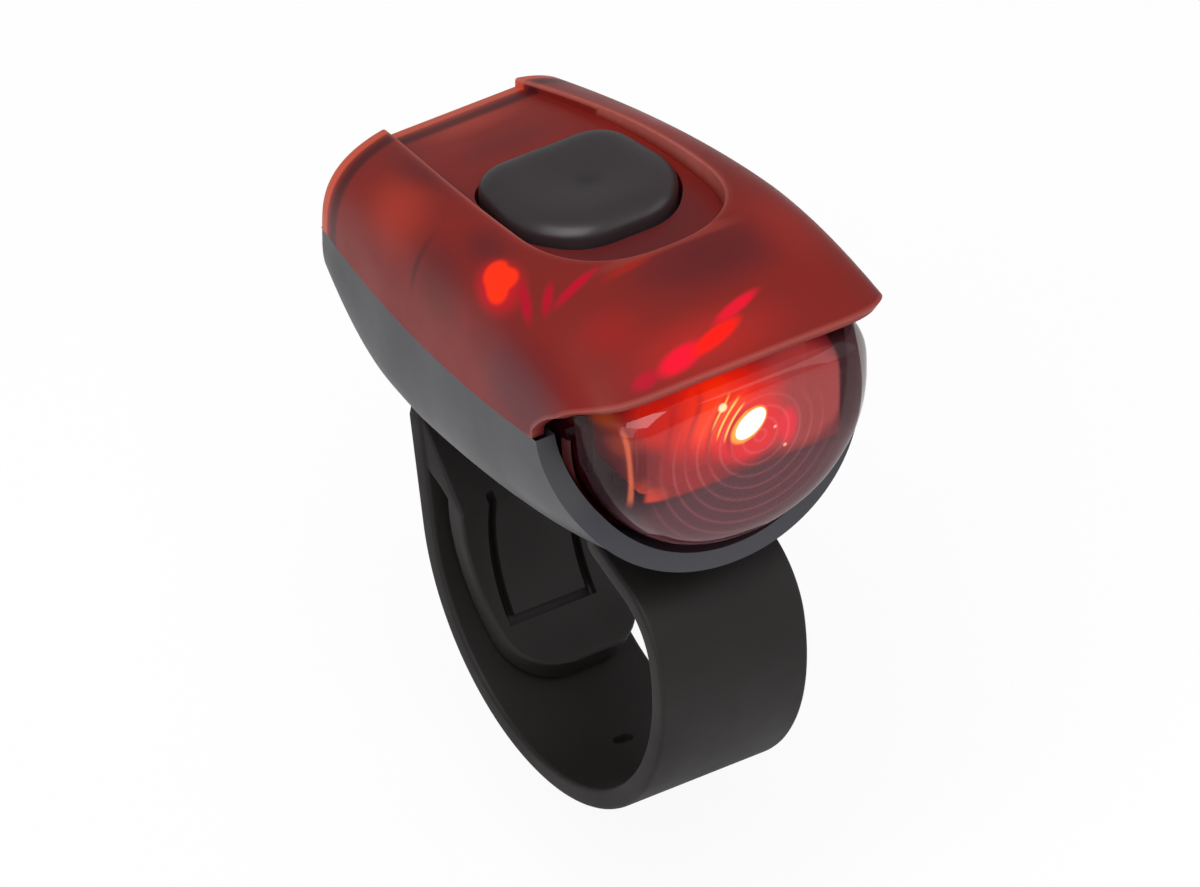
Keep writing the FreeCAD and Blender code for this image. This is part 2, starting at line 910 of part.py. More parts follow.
def chip(x, y, length, width, height):
    """A soldered part on the main board, given by its middle."""
    top = board_top()
    return box(x - length / 2, x + length / 2, y - width / 2, y + width / 2, top, top + height)


def make_board_components():
    chips = [chip(-big_part_x, big_part_back, charger_side, charger_side, charger_height)]
    chips.append(chip(big_part_x, big_part_back, coil_side, coil_side, coil_height))
    for index in range(small_part_count):
        x = small_part_x + index * small_part_pitch
        chips.append(chip(x, small_part_back, small_part_length, small_part_width, small_part_height))
    for side in (-1, 1):
        chips.append(chip(side * edge_part_x, -edge_part_forward, edge_part_length, edge_part_width, edge_part_height))
    chips.append(chip(0, -driver_forward, driver_length, driver_width, driver_height))
    node("board_components", Part.makeCompound(chips))


def make_board_header():
    top = board_top()
    y0 = -board_front + header_inset
    block = box(-header_half_length, header_half_length, y0, y0 + header_width, top, top + header_height)
    middle = top + header_height / 2
    half = header_pin / 2
    pins = []
    for index in range(header_pins):
        x = header_pitch * (index - (header_pins - 1) / 2)
        pins.append(box(x - half, x + half, -led_board_back, y0, middle - half, middle + half))
    node("board_header", block.fuse(pins))


def make_led_board():
    y0 = -(led_board_back + led_board_thickness)
    board = box(-led_board_half_width, led_board_half_width, y0, -led_board_back, led_board_bottom, led_board_top)
    for side in (-1, 1):
        x0, x1 = sorted((side * cradle_half_width, side * (led_board_half_width + over)))
        board = board.cut(box(x0, x1, y0 - over, -led_board_back + over, 0, cradle_top + led_board_step))
    node("led_board", board)


def led_front():
    return -(led_board_back + led_board_thickness)


def forward_cylinder(radius, near, far):
    """A cylinder on the lamp's axis between two distances ahead of the bar."""
    return Part.makeCylinder(radius, far - near, V(0, -near, led_z), -Y_AXIS)


def make_main_led():
    start = -led_front()
    shoulder = start + led_flange + led_body
    flange = forward_cylinder(led_flange_radius, start, start + led_flange)
    body = forward_cylinder(led_radius, start, shoulder)
    dome = Part.makeSphere(led_radius, V(0, -shoulder, led_z))
    dome = dome.common(box(-led_radius, led_radius, -shoulder - led_radius, -shoulder, 0, top_peak))
    node("main_led", merged(flange.fuse([body, dome])))


def make_reflector():
    start = -led_front()
    face = reflector_front - reflector_recess
    block = box(-reflector_half_width, reflector_half_width, -reflector_front, led_front(),
                reflector_bottom, reflector_top)
    corners = [edge for edge in block.Edges if edge.BoundBox.YLength > reflector_rim]
    block = block.makeFillet(reflector_corner, corners)
    inner = box(-reflector_half_width + reflector_rim, reflector_half_width - reflector_rim,
                -reflector_front - over, -face, reflector_bottom + reflector_rim, reflector_top - reflector_rim)
    block = block.cut(inner)
    cup = Part.makeCone(led_radius + cup_throat_gap, cup_mouth_radius, face - start, V(0, -start, led_z), -Y_AXIS)
    seat = forward_cylinder(led_flange_radius + cup_throat_gap, start, start + led_flange + cup_throat_gap)
    node("reflector", block.cut(cup).cut(seat))


def make_side_leds():
    top = board_top()
    for name, side in (("side_led_left", -1), ("side_led_right", 1)):
        x = side * side_led_x
        base = box(x - side_led_width / 2, x + side_led_width / 2, side_led_back - side_led_length / 2,
                   side_led_back + side_led_length / 2, top, top + side_led_height)
        well = Part.makeCone(side_led_well_floor, side_led_well_mouth, side_led_well_depth,
                             V(x, side_led_back, top + side_led_height - side_led_well_depth), Z_AXIS)
        node(name, base.cut(well))
    x = charge_led_x
    charge = box(x - charge_led_length / 2, x + charge_led_length / 2, charge_led_back,
                 charge_led_back + charge_led_width, top, top + charge_led_height)
    node("charge_led", charge)


def battery_top():
    return battery_bottom + battery_thickness


def make_battery():
    cell = box(-battery_half_width, battery_half_width, -battery_front, battery_back, battery_bottom, battery_top())
    edges = [edge for edge in cell.Edges if edge.BoundBox.YLength > battery_thickness]
    node("battery_cell", cell.makeFillet(battery_edge_round, edges))
    foam = box(-battery_half_width + foam_margin, battery_half_width - foam_margin,
               -battery_front + foam_margin, battery_back - foam_margin, battery_top(), board_bottom)
    node("battery_foam", foam)
    tape = box(-tape_half_width, tape_half_width, -battery_front + tape_margin, battery_back - tape_margin,
               bottom_flat, battery_bottom)
    node("battery_tape", tape.common(housing_cavity()))


def make_battery_leads():
    """Two short wires from the cell's front end, round and up to the board."""
    start_z = battery_bottom + battery_thickness * lead_height_share
    bend = lead_bend
    for name, side in (("battery_lead_red", 1), ("battery_lead_black", -1)):
        x = side * lead_x
        y0 = -battery_front
        y1 = y0 - lead_reach
        straight = Part.makeLine(V(x, y0, start_z), V(x, y1 + bend, start_z))
        middle = V(x, y1 + bend - bend * math.sin(math.pi / 4), start_z + bend * (1 - math.cos(math.pi / 4)))
        turn = Part.Arc(V(x, y1 + bend, start_z), middle, V(x, y1, start_z + bend)).toShape()
        rise = Part.makeLine(V(x, y1, start_z + bend), V(x, y1, board_bottom))
        path = Part.Wire([straight, turn, rise])
        ring = Part.Wire(Part.makeCircle(lead_radius, V(x, y0, start_z), Y_AXIS))
        node(name, path.makePipeShell([ring], True, False))


# Charging port

def make_usb_port():
    y1 = body_back - usb_mouth_inset
    y0 = y1 - usb_length
    z0, z1 = port_z - usb_height / 2, port_z + usb_height / 2
    shell = box(-usb_half_width, usb_half_width, y0, y1, z0, z1)
    mouth = box(-usb_half_width + usb_shell, usb_half_width - usb_shell, y0 + usb_back_wall, y1 + over,
                z0 + usb_shell, z1 - usb_shell)
    tongue_low = port_z + usb_tongue_low
    tongue = box(-usb_tongue_half, usb_tongue_half, y0, y1 - usb_back_wall, tongue_low,
                 tongue_low + usb_tongue_thickness)
    node("usb_port", shell.cut(mouth).fuse(tongue))


def make_port_flap():
    back = flap_back()
    out = back + flap_thickness
    top = port_z + usb_height / 2 + flap_above_port
    axis_y = body_back + flap_hinge_out
    plate = box(-flap_half_width, flap_half_width, back, out, flap_hinge_z, top)
    corners = [edge for edge in plate.Edges if edge.BoundBox.YLength > 1 and edge.BoundBox.ZMin > port_z]
    plate = plate.makeFillet(flap_corner, corners)
    bracket_radius = flap_hinge_radius + flap_hinge_gap + flap_bracket_wall
    clear = flap_hinge_z + bracket_radius + flap_bracket_gap
    inner_half = flap_half_width - flap_bracket_length - flap_bracket_gap
    for side in (-1, 1):
        x0, x1 = sorted((side * inner_half, side * (flap_half_width + over)))
        plate = plate.cut(box(x0, x1, back - over, out + over, 0, clear))
    bead = crosswise(axis_y, flap_hinge_z, flap_hinge_radius, flap_half_width - flap_bead_gap)
    half = usb_half_width + port_gap - flap_plug_gap
    high = usb_height / 2 + port_gap - flap_plug_gap
    plug = box(-half, half, back - flap_plug_depth, back, port_z - high, port_z + high)
    inner_rim = [edge for edge in plug.Edges if edge.BoundBox.YMax < back - flap_plug_depth + 0.01]
    plug = plug.makeChamfer(flap_plug_edge, inner_rim)
    lift_top = top - flap_lift_below
    lift = box(-flap_lift_half, flap_lift_half, back, out + flap_lift_out, lift_top - flap_lift_height, lift_top)
    node("port_flap", merged(plate.fuse([bead, plug, lift])))


# Screws

def make_screws():
    screws = []
    for x, y in post_places():
        head = upright(x, y, screw_head_radius, screw_seat_z - screw_head_height, screw_seat_z)
        shank = upright(x, y, screw_radius, screw_seat_z, screw_seat_z + screw_length)
        low = screw_seat_z - screw_head_height
        high = low + screw_slot_depth
        thin, long = screw_slot_width / 2, screw_slot_reach
        cross = box(x - long, x + long, y - thin, y + thin, low, high)
        other = box(x - thin, x + thin, y - long, y + long, low, high)
        screws.append(head.fuse(shank).cut(cross).cut(other))
    node("housing_screws", Part.makeCompound(screws))


# Strap

def loop_point(radius, degrees):
    """A point of the strap's round loop. 0 degrees is ahead and 90 is up."""
    angle = math.radians(degrees)
    return V(0, -radius * math.cos(angle), loop_drop + radius * math.sin(angle))


def grip_point(radius, degrees, x=0.0):
    """A point about the bar's axis. 0 degrees is ahead and 90 is up."""
    angle = math.radians(degrees)
    return V(x, -radius * math.cos(angle), radius * math.sin(angle))


def strap_side(offset):
    """One long face of the strap seen along the bar, as edges from eye to tab.

    The offset is measured outward from the middle of the strap's thickness."""
    middle = loop_radius - strap_thickness / 2
    centre = V(0, 0, loop_drop)
    pin = V(0, pin_back, pin_z)
    away = pin - centre
    pin_angle = math.degrees(math.atan2(away.z, -away.y))
    touch_angle = pin_angle + math.degrees(math.acos(middle / away.Length))
    corner_middle = corner_radius - strap_thickness / 2
    gap = middle - corner_middle
    corner_angle = math.degrees(math.asin((corner_crown - corner_radius) / gap))
    corner_centre = loop_point(gap, corner_angle)
    end_angle = 90 - tab_rise_angle

    def corner_point(degrees):
        angle = math.radians(degrees)
        radius = corner_middle + offset
        return corner_centre + V(0, -radius * math.cos(angle), radius * math.sin(angle))

    radius = middle + offset
    touch = loop_point(radius, touch_angle)
    outward = (loop_point(1, touch_angle) - centre)
    start = pin + outward * offset
    bottom = loop_point(radius, (touch_angle + 360 + corner_angle) / 2)
    turn = loop_point(radius, 360 + corner_angle)
    rise_start = corner_point(end_angle)
    direction = V(0, math.cos(math.radians(tab_rise_angle)), math.sin(math.radians(tab_rise_angle)))
    end = rise_start + direction * ((-tab_end_forward - rise_start.y) / direction.y)
    edges = [Part.makeLine(start, touch)]
    edges.append(Part.Arc(touch, bottom, turn).toShape())
    edges.append(Part.Arc(turn, corner_point((corner_angle + end_angle) / 2), rise_start).toShape())
    edges.append(Part.makeLine(rise_start, end))
    return edges, start, end, direction


def make_strap():
    half = strap_thickness / 2
    outer, outer_start, outer_end, rise = strap_side(half)
    inner, inner_start, inner_end, rise = strap_side(-half)
    close_end = Part.makeLine(outer_end, inner_end)
    close_start = Part.makeLine(inner_start, outer_start)
    outline = Part.Wire(Part.__sortEdges__(outer + inner + [close_end, close_start]))
    band = Part.Face(outline).extrude(V(2 * strap_half_width, 0, 0))
    band.translate(V(-strap_half_width, 0, 0))
    eye_radius = pin_radius + eye_gap + eye_wall
    shoulder = pin_z - (pin_radius + eye_wall) - shoulder_gap
    for side in (-1, 1):
        x0, x1 = sorted((side * eye_half_width, side * (strap_half_width + over)))
        band = band.cut(box(x0, x1, pin_back - 2 * eye_radius, pin_back + 2 * eye_radius,
                            shoulder, pin_z + 2 * eye_radius))
    band = band.fuse(crosswise(pin_back, pin_z, eye_radius, eye_half_width))
    band = band.cut(crosswise(pin_back, pin_z, pin_radius + eye_gap, strap_half_width))
    round_front = -(tab_end_forward + tab_end_round)
    tab_low = bottom_flat / 2
    tip = []
    for side in (-1, 1):
        x0, x1 = sorted((side * (strap_half_width - tab_end_round), side * (strap_half_width + over)))
        corner = box(x0, x1, round_front, -tab_end_forward + over, tab_low, bottom_flat + over)
        corner = corner.cut(upright(side * (strap_half_width - tab_end_round), round_front, tab_end_round,
                                    0, high_up()))
        tip.append(corner)
    band = band.cut(tip)
    slot = box(-slot_half_width, slot_half_width, -peg_forward - slot_half_length + slot_half_width,
               -peg_forward + slot_half_length - slot_half_width, tab_low, bottom_flat + over)
    for along in (-1, 1):
        y = -peg_forward + along * (slot_half_length - slot_half_width)
        slot = slot.fuse(upright(0, y, slot_half_width, tab_low, bottom_flat + over))
    band = band.cut(slot)
    floor = loop_point(loop_radius - strap_thickness + dimple_depth, dimple_angle)
    spread = (dimple_length - dimple_width) / 2
    ends = [upright(side * spread, 0, dimple_width / 2, 0, strap_thickness) for side in (-1, 1)]
    dimple = box(-spread, spread, -dimple_width / 2, dimple_width / 2, 0, strap_thickness).fuse(ends)
    dimple.rotate(V(0, 0, 0), X_AXIS, 270 - dimple_angle)
    dimple.translate(floor)
    band = band.cut(dimple)
    node("strap", merged(band))


def make_tongue():
    """The stiffer tongue moulded to the loop's back wall, curved to lie on the bar."""
    outer = grip_radius + tongue_thickness
    a0, a1 = tongue_start_angle, tongue_end_angle
    inner_arc = Part.Arc(grip_point(grip_radius, a0), grip_point(grip_radius, (a0 + a1) / 2),
                         grip_point(grip_radius, a1)).toShape()
    outer_arc = Part.Arc(grip_point(outer, a1), grip_point(outer, (a0 + a1) / 2),
                         grip_point(outer, a0)).toShape()
    wall_top = strap_inner_at(tongue_root_z)
    wall_low = strap_inner_at(tongue_root_z - tongue_root_depth)
    tip = Part.makeLine(grip_point(grip_radius, a1), grip_point(outer, a1))
    low = Part.makeLine(grip_point(outer, a0), wall_low)
    seat = Part.makeLine(wall_low, wall_top)
    high = Part.makeLine(wall_top, grip_point(grip_radius, a0))
    outline = Part.Wire([inner_arc, tip, outer_arc, low, seat, high])
    half = grip_length / 2
    plate = Part.Face(outline).extrude(V(grip_length, 0, 0))
    plate.translate(V(-half, 0, 0))
    plate = plate.cut(tongue_tip_trim(half))
    plate = plate.cut(pocket_ring())
    node("strap_tongue", merged(plate))


def strap_inner_at(z):
    """The point of the strap's back wall, inner face, at a height."""
    edges, start, end, rise = strap_side(-strap_thickness / 2)
    first, last = edges[0].Vertexes[0].Point, edges[0].Vertexes[-1].Point
    share = (z - first.z) / (last.z - first.z)
    return first + (last - first) * share


def tongue_tip_trim(half):
    """What is cut away to round the tongue's free end, drawn across its curve."""
    outer = grip_radius + tongue_thickness + 2 * over
    angle_span = math.degrees(tongue_tip_round / grip_radius)
    trims = []
    steps = tongue_tip_steps
    for side in (-1, 1):
        sections = []
        for index in range(steps + 1):
            share = index / steps
            degrees = tongue_end_angle - angle_span * (1 - share)
            inset = tongue_tip_round * (1 - math.sqrt(max(0.0, 1 - share ** 2)))
            x = side * (half - inset)
            sections.append((degrees, x))
        for (d0, xa), (d1, xb) in zip(sections, sections[1:]):
            trims.append(wedge(d0, d1, xa, xb, side * (half + over), outer))
    return trims


def wedge(d0, d1, xa, xb, x_out, outer):
    """A thin radial block between two angles whose inner side slopes from xa to xb."""
    inner = grip_radius - 2 * over
    near = Part.makePolygon([grip_point(inner, d0, xa), grip_point(outer, d0, xa),
                             grip_point(outer, d0, x_out), grip_point(inner, d0, x_out),
                             grip_point(inner, d0, xa)])
    far = Part.makePolygon([grip_point(inner, d1, xb), grip_point(outer, d1, xb),
                            grip_point(outer, d1, x_out), grip_point(inner, d1, x_out),
                            grip_point(inner, d1, xb)])
    return Part.makeLoft([near, far], True, True)


def ring_sector(r0, r1, a0, a1, half):
    """A curved block about the bar's axis."""
    middle = (a0 + a1) / 2
    inner = Part.Arc(grip_point(r0, a0, -half), grip_point(r0, middle, -half), grip_point(r0, a1, -half)).toShape()
    outer = Part.Arc(grip_point(r1, a1, -half), grip_point(r1, middle, -half), grip_point(r1, a0, -half)).toShape()
    first = Part.makeLine(grip_point(r0, a1, -half), grip_point(r1, a1, -half))
    last = Part.makeLine(grip_point(r1, a0, -half), grip_point(r0, a0, -half))
    return Part.Face(Part.Wire([inner, first, outer, last])).extrude(V(2 * half, 0, 0))


def pocket_ring():
    """The groove that frames the raised block on the tongue's gripping face."""
    groove = math.degrees(pocket_groove / grip_radius)
    deep = grip_radius + pocket_depth
    pocket = ring_sector(grip_radius - over, deep, pocket_start_angle, pocket_end_angle, pocket_half_width)
    block = ring_sector(grip_radius - 2 * over, deep + over, pocket_start_angle - groove,
                        pocket_end_angle - groove, pocket_half_width - pocket_groove)
    return pocket.cut(block)


def make_saddle_pad():
    half = grip_length / 2
    front = grip_point(grip_radius, saddle_front_angle)
    back = grip_point(grip_radius, saddle_back_angle)
    block = box(-half, half, front.y, back.y, 0, bottom_flat)
    block = block.cut(crosswise(0, 0, grip_radius, half + over))
    node("saddle_pad", block.cut(body_solid()))


def make_strap_pin():
    half = eye_half_width + lug_gap + lug_thickness
    pin = crosswise(pin_back, pin_z, pin_radius, half)
    rims = [edge for edge in pin.Edges if edge.BoundBox.XLength < pin_chamfer]
    node("strap_pin", pin.makeChamfer(pin_chamfer, rims))


def build():
    make_top_cover()
    make_lower_housing()
    make_front_lens()
    make_lens_gasket()
    make_housing_gasket()
    make_power_button()
    make_button_seal()
    make_switch()
    make_circuit_board()
    make_board_components()
    make_board_header()
    make_led_board()
    make_main_led()
    make_reflector()
    make_side_leds()
    make_battery()
    make_battery_leads()
    make_usb_port()
    make_port_flap()
    make_screws()
    make_strap()
    make_tongue()
    make_saddle_pad()
    make_strap_pin()
    os.makedirs("parts", exist_ok=True)
    for name, shape in NODES.items():
        shape.exportStep("parts/" + name + ".step")
    print("button lean", round(button_lean, 3), "floor", round(button_floor, 3), "middle", button_middle)


build()
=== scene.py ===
import bmesh
import bpy
import json
import math
from mathutils import Matrix, Vector


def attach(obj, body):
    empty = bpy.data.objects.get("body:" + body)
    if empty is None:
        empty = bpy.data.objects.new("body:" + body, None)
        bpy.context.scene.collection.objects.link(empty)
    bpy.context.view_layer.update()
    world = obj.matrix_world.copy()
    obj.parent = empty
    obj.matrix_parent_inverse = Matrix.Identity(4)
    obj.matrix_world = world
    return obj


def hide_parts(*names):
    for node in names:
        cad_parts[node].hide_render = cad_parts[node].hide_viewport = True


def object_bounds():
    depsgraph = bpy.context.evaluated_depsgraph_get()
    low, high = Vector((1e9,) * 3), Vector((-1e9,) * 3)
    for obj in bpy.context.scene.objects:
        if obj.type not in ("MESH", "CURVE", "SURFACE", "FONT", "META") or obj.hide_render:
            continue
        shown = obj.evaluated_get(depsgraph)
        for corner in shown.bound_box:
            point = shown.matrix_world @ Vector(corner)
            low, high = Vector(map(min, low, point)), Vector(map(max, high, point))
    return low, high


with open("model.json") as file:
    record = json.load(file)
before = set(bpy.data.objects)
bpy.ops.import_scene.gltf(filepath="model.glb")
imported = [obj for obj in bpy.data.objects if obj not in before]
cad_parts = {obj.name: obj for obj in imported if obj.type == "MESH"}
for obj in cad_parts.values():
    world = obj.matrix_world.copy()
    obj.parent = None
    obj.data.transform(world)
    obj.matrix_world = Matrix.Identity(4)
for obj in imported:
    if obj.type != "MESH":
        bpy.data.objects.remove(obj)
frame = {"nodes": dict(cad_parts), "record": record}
cad_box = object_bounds()

# Shapes are drawn in millimetres in the part's own frame and scaled to metres when a piece is finished.
# The origin is on the bar's axis, +Z is up, the lens looks along -Y and X runs along the bar.

X, Y, Z = Vector((1, 0, 0)), Vector((0, 1, 0)), Vector((0, 0, 1))

body_back, body_nose = 25.6, -23.0
tail_half, half_growth = 12.95, 3.05
peak_y, peak_z, tail_fall, nose_fall = -5.0, 41.25, 5.9, 5.25
seam_y, seam_z, seam_bend = 19.0, 26.95, 185.0
keel_z, tail_rise, nose_rise = 14.0, 6.0, 1.1
brow_z, brow_end, lip_lean = 36.0, 36.05, 0.27
cover_wall, visor_thinning, housing_wall = 1.5, 0.95, 1.9
cavity_back = 24.1
channel_straight, channel_reach, channel_nose = 1.0, 9.1, -9.6
channel_side, channel_tail, channel_growth = 9.3, 6.5, 2.8
channel_side_share, channel_nose_power = 0.55, 2.6
floor_bend, floor_centre_y, floor_centre_z = 108.546, -5.620, -69.874
button_middle, button_floor, button_lean = 4.75, 38.175, 5.495
lamp_z = 28.4
lens_z, lens_half, lens_rise, lens_drop, lens_back, lens_depth = 30.3, 13.5, 5.8, 13.3, 11.0, 11.0
port_z, flap_y, flap_z = 23.8, 26.45, 21.9
pin_y, pin_z, eye_half, eye_radius, lug_radius = 20.8, 13.0, 5.3, 2.35, 2.3
bar_grip, loop_z = 12.8, 1.4
strap_middle, strap_half_thick, strap_half_wide = 18.05, 0.95, 7.4
peg_y = -7.7


# The moulded body's outside

def body_share(y):
    return (body_back - y) / (body_back - body_nose)


def clamp(value, low=0.0, high=1.0):
    return max(low, min(high, value))


def seam_height(y):
    return seam_z + seam_bend - math.sqrt(seam_bend ** 2 - (seam_y - y) ** 2)


def half_width(y):
    return tail_half + half_growth * (1 - (1 - min(1.0, body_share(y))) ** 2.4)


def roof_height(y):
    if y > peak_y:
        return peak_z - tail_fall * ((y - peak_y) / (body_back - peak_y)) ** 1.75
    return peak_z - nose_fall * ((peak_y - y) / (peak_y - body_nose)) ** 2


def keel_height(y):
    behind = max(0.0, y - 14.4) / 11.2
    ahead = max(0.0, -8.0 - y) / 15.0
    return keel_z + tail_rise * behind ** 2 + nose_rise * ahead ** 2


def roof_power(y):
    return 3.0 + 1.1 * clamp(body_share(y) / 0.6)


def keel_power(y):
    return 3.8 - 1.75 * clamp((body_share(y) - 0.33) / 0.54)


def skin(y, angle, wall=0.0):
    """A point of the body's outside, or of a wall's inside. 0 is the right seam and pi the left one."""
    c, s = math.cos(angle), math.sin(angle)
    above = s >= -1e-9
    power = roof_power(y) if above else keel_power(y)
    reach = (abs(c) ** power + abs(s) ** power) ** (-1 / power)
    seam = seam_height(y)
    rise = roof_height(y) - wall - seam if above else seam - keel_height(y) - wall
    return Vector(((half_width(y) - wall) * reach * c, y, seam + rise * reach * s))


def angle_at(x, y):
    """The angle whose skin point lies at x on the roof."""
    side = clamp(x / half_width(y), -1.0, 1.0)
    power = roof_power(y)
    return math.atan2((1 - abs(side) ** power) ** (1 / power), side)


def under_height(x, y):
    """Height of the body's underside."""
    side = clamp(abs(x) / half_width(y))
    power = keel_power(y)
    seam = seam_height(y)
    return seam - (seam - keel_height(y)) * (1 - side ** power) ** (1 / power)


def blunt_front(x):
    return max(0.0, 1 - abs(x / 16.0) ** 7) ** (1 / 3)


def visor_reach(point):
    """How far ahead the cover ends: the visor's plan, or the brow beside the lens."""
    ahead = 12.3 + 8.6 * blunt_front(point.x)
    if point.z < brow_z:
        ahead = min(ahead, max(11.9, 18.35 - 3.75 * math.log(brow_end - point.z)))
    return ahead


def lip_reach(point):
    """How far ahead the housing ends, drawing back as it rises."""
    return 15.3 + 3.6 * blunt_front(point.x) - lip_lean * (point.z - 15.0)


def front_y(angle, reach_of):
    """Where the skin at an angle meets one of the two front edges, closed in on by steps."""
    y = -15.0
    for turn in range(24):
        y += 0.5 * (-reach_of(skin(y, angle)) - y)
    return y


def cover_wall_at(y):
    """The cover's wall, thinner in its visor."""
    return cover_wall - visor_thinning * clamp((-8.0 - y) / 12.9)


# The channel in the roof

def channel_half(y):
    if y < channel_straight:
        return channel_side
    share = (body_back - y) / (body_back - channel_straight)
    return channel_tail + channel_growth * math.sin(share * math.pi / 2)


def channel_floor(y):
    """The floor bends as one arc from the back wall to the nose."""
    return floor_centre_z + math.sqrt(floor_bend ** 2 - (y - floor_centre_y) ** 2)


def channel_edge(t):
    """The channel's outline in plan, from its back left end round the nose to its back right end."""
    side = -1 if t < 0.5 else 1
    t = 1 - abs(2 * t - 1)
    if t < channel_side_share:
        y = body_back + (channel_straight - body_back) * t / channel_side_share
        return side * channel_half(y), y
    angle = (t - channel_side_share) / 0.45 * math.pi / 2
    x = channel_side * max(0.0, math.cos(angle)) ** (2 / channel_nose_power)
    return side * x, channel_straight - channel_reach * math.sin(angle) ** (2 / channel_nose_power)


def cover_rim(t):
    """Angle and y of the cover's lower edge: left seam, front edge, right seam."""
    side = -1 if t < 0.5 else 1
    t = 1 - abs(2 * t - 1)
    if t < 0.5:
        front = front_y(math.pi, visor_reach)
        return (math.pi if side < 0 else 0.0), body_back + (front - body_back) * t / 0.5
    angle = math.pi / 2 - side * (math.pi / 2) * (1 - (t - 0.5) / 0.5)
    return angle, front_y(angle, visor_reach)


# Working with meshes

def patch(bm, columns, rows, place):
    """A grid of faces laid on a surface: place(u, v) gives the point for u and v from 0 to 1."""
    made = bmesh.ops.create_grid(bm, x_segments=columns, y_segments=rows, size=1.0)["verts"]
    span = max(vert.co.x for vert in made)
    for vert in made:
        vert.co = place(clamp((vert.co.x / span + 1) / 2), clamp((vert.co.y / span + 1) / 2))


def weld(bm, distance=0.002):
    bmesh.ops.remove_doubles(bm, verts=bm.verts[:], dist=distance)
    bmesh.ops.dissolve_degenerate(bm, edges=bm.edges[:], dist=distance / 2)
    bmesh.ops.recalc_face_normals(bm, faces=bm.faces[:])


def soften(bm, edges, width, steps=3):
    bmesh.ops.bevel(bm, geom=edges, offset=width, offset_type="OFFSET", segments=steps, profile=0.5,
                    affect="EDGES", clamp_overlap=True, material=-1)


def sharp_edges(bm, degrees=50.0, keep=None):
    """The edges that turn by more than an angle, where both ends pass the test that is given."""
    limit = math.radians(degrees)
    return [edge for edge in bm.edges if len(edge.link_faces) == 2 and edge.calc_face_angle(0.0) > limit
            and (keep is None or all(keep(vert.co) for vert in edge.verts))]


def as_object(name, bm):
    mesh = bpy.data.meshes.new(name)
    bm.to_mesh(mesh)
    piece = bpy.data.objects.new(name, mesh)
    bpy.context.scene.collection.objects.link(piece)
    return piece


def cut_with(bm, tool):
    """Take the tool's solid out of a closed shape."""
    whole, cutter = as_object("whole", bm), as_object("cutter", tool)
    cut = whole.modifiers.new("cut", "BOOLEAN")
    cut.operation = "DIFFERENCE"
    cut.solver = "EXACT"
    cut.object = cutter
    bpy.context.view_layer.update()
    graph = bpy.context.evaluated_depsgraph_get()
    result = bpy.data.meshes.new_from_object(whole.evaluated_get(graph))
    bm.clear()
    bm.from_mesh(result)
    for temporary in (whole, cutter):
        spare = temporary.data
        bpy.data.objects.remove(temporary)
        bpy.data.meshes.remove(spare)
    bpy.data.meshes.remove(result)
    tool.free()


def finish_piece(name, bm, body, node, slot, crease=34.0):
    """Turn a millimetre shape into a piece that rides on its body in place of its CAD node."""
    bmesh.ops.scale(bm, vec=(0.001, 0.001, 0.001), verts=bm.verts[:])
    for face in bm.faces:
        face.smooth = True
    piece = as_object(name, bm)
    bm.free()
    piece.data.set_sharp_from_angle(angle=math.radians(crease))
    piece.data.materials.append(finishes[slot])
    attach(piece, body)
    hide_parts(node)


def close_holes(bm):
    bmesh.ops.holes_fill(bm, edges=[edge for edge in bm.edges if len(edge.link_faces) == 1], sides=0)
    bmesh.ops.recalc_face_normals(bm, faces=bm.faces[:])


def rounded_bar(bm, stations, edge, corners=4):
    """Sweep a bar section with rounded edges along (middle, outward, half thick, half wide) stations."""
    count = 4 * (corners + 1)

    def place(u, v):
        along = v * (len(stations) - 1)
        middle, outward, thick, wide = stations[min(int(round(along)), len(stations) - 1)]
        step = int(round(u * count)) % count
        corner, part = divmod(step, corners + 1)
        angle = math.radians(90 * corner + 90 * part / corners)
        r = min(edge, thick * 0.96, wide * 0.96)
        cx = (wide - r) * (1 if corner in (0, 3) else -1)
        ct = (thick - r) * (1 if corner in (0, 1) else -1)
        return middle + Vector((cx + r * math.cos(angle), 0, 0)) + outward * (ct + r * math.sin(angle))

    patch(bm, count, len(stations) - 1, place)
    bmesh.ops.remove_doubles(bm, verts=bm.verts[:], dist=0.002)
    close_holes(bm)


def slab(bm, outline, depth, hole=None):
    """Extrude a closed outline along a depth, with an optional hole outline of the same count."""
    before = set(bm.faces)
    verts = [bm.verts.new(point) for point in outline]
    if hole is None:
        bm.faces.new(verts)
    else:
        inner = [bm.verts.new(point) for point in hole]
        for index in range(len(verts)):
            after = (index + 1) % len(verts)
            bm.faces.new((verts[index], verts[after], inner[after], inner[index]))
    flat = [face for face in bm.faces if face not in before]
    made = bmesh.ops.extrude_face_region(bm, geom=flat)["geom"]
    moved = [part for part in made if isinstance(part, bmesh.types.BMVert)]
    bmesh.ops.translate(bm, vec=depth, verts=moved)
    bmesh.ops.recalc_face_normals(bm, faces=[face for face in bm.faces if face not in before])


def turns(count, start=0.0):
    """Even angles once round."""
    return [2 * math.pi * (index + start) / count for index in range(count)]


def disc_points(centre, first, second, radius, count):
    """Points round a circle in the plane of two directions."""
    return [centre + first * radius * math.cos(angle) + second * radius * math.sin(angle)
            for angle in turns(count)]


def squarish(angle, half, high, power=8):
    """How far across and up a point lies on an outline between an oval and a box."""
    c, s = math.cos(angle), math.sin(angle)
    reach = (abs(c / half) ** power + abs(s / high) ** power) ** (-1 / power)
    return reach * c, reach * s


def stadium(angle, radius, shift, along_y=False):
    """A round end pushed out either way along its slot."""
    c, s = math.cos(angle), math.sin(angle)
    if along_y:
        return radius * c, (shift if s > 0 else -shift) + radius * s
    return (shift if c > 0 else -shift) + radius * c, radius * s


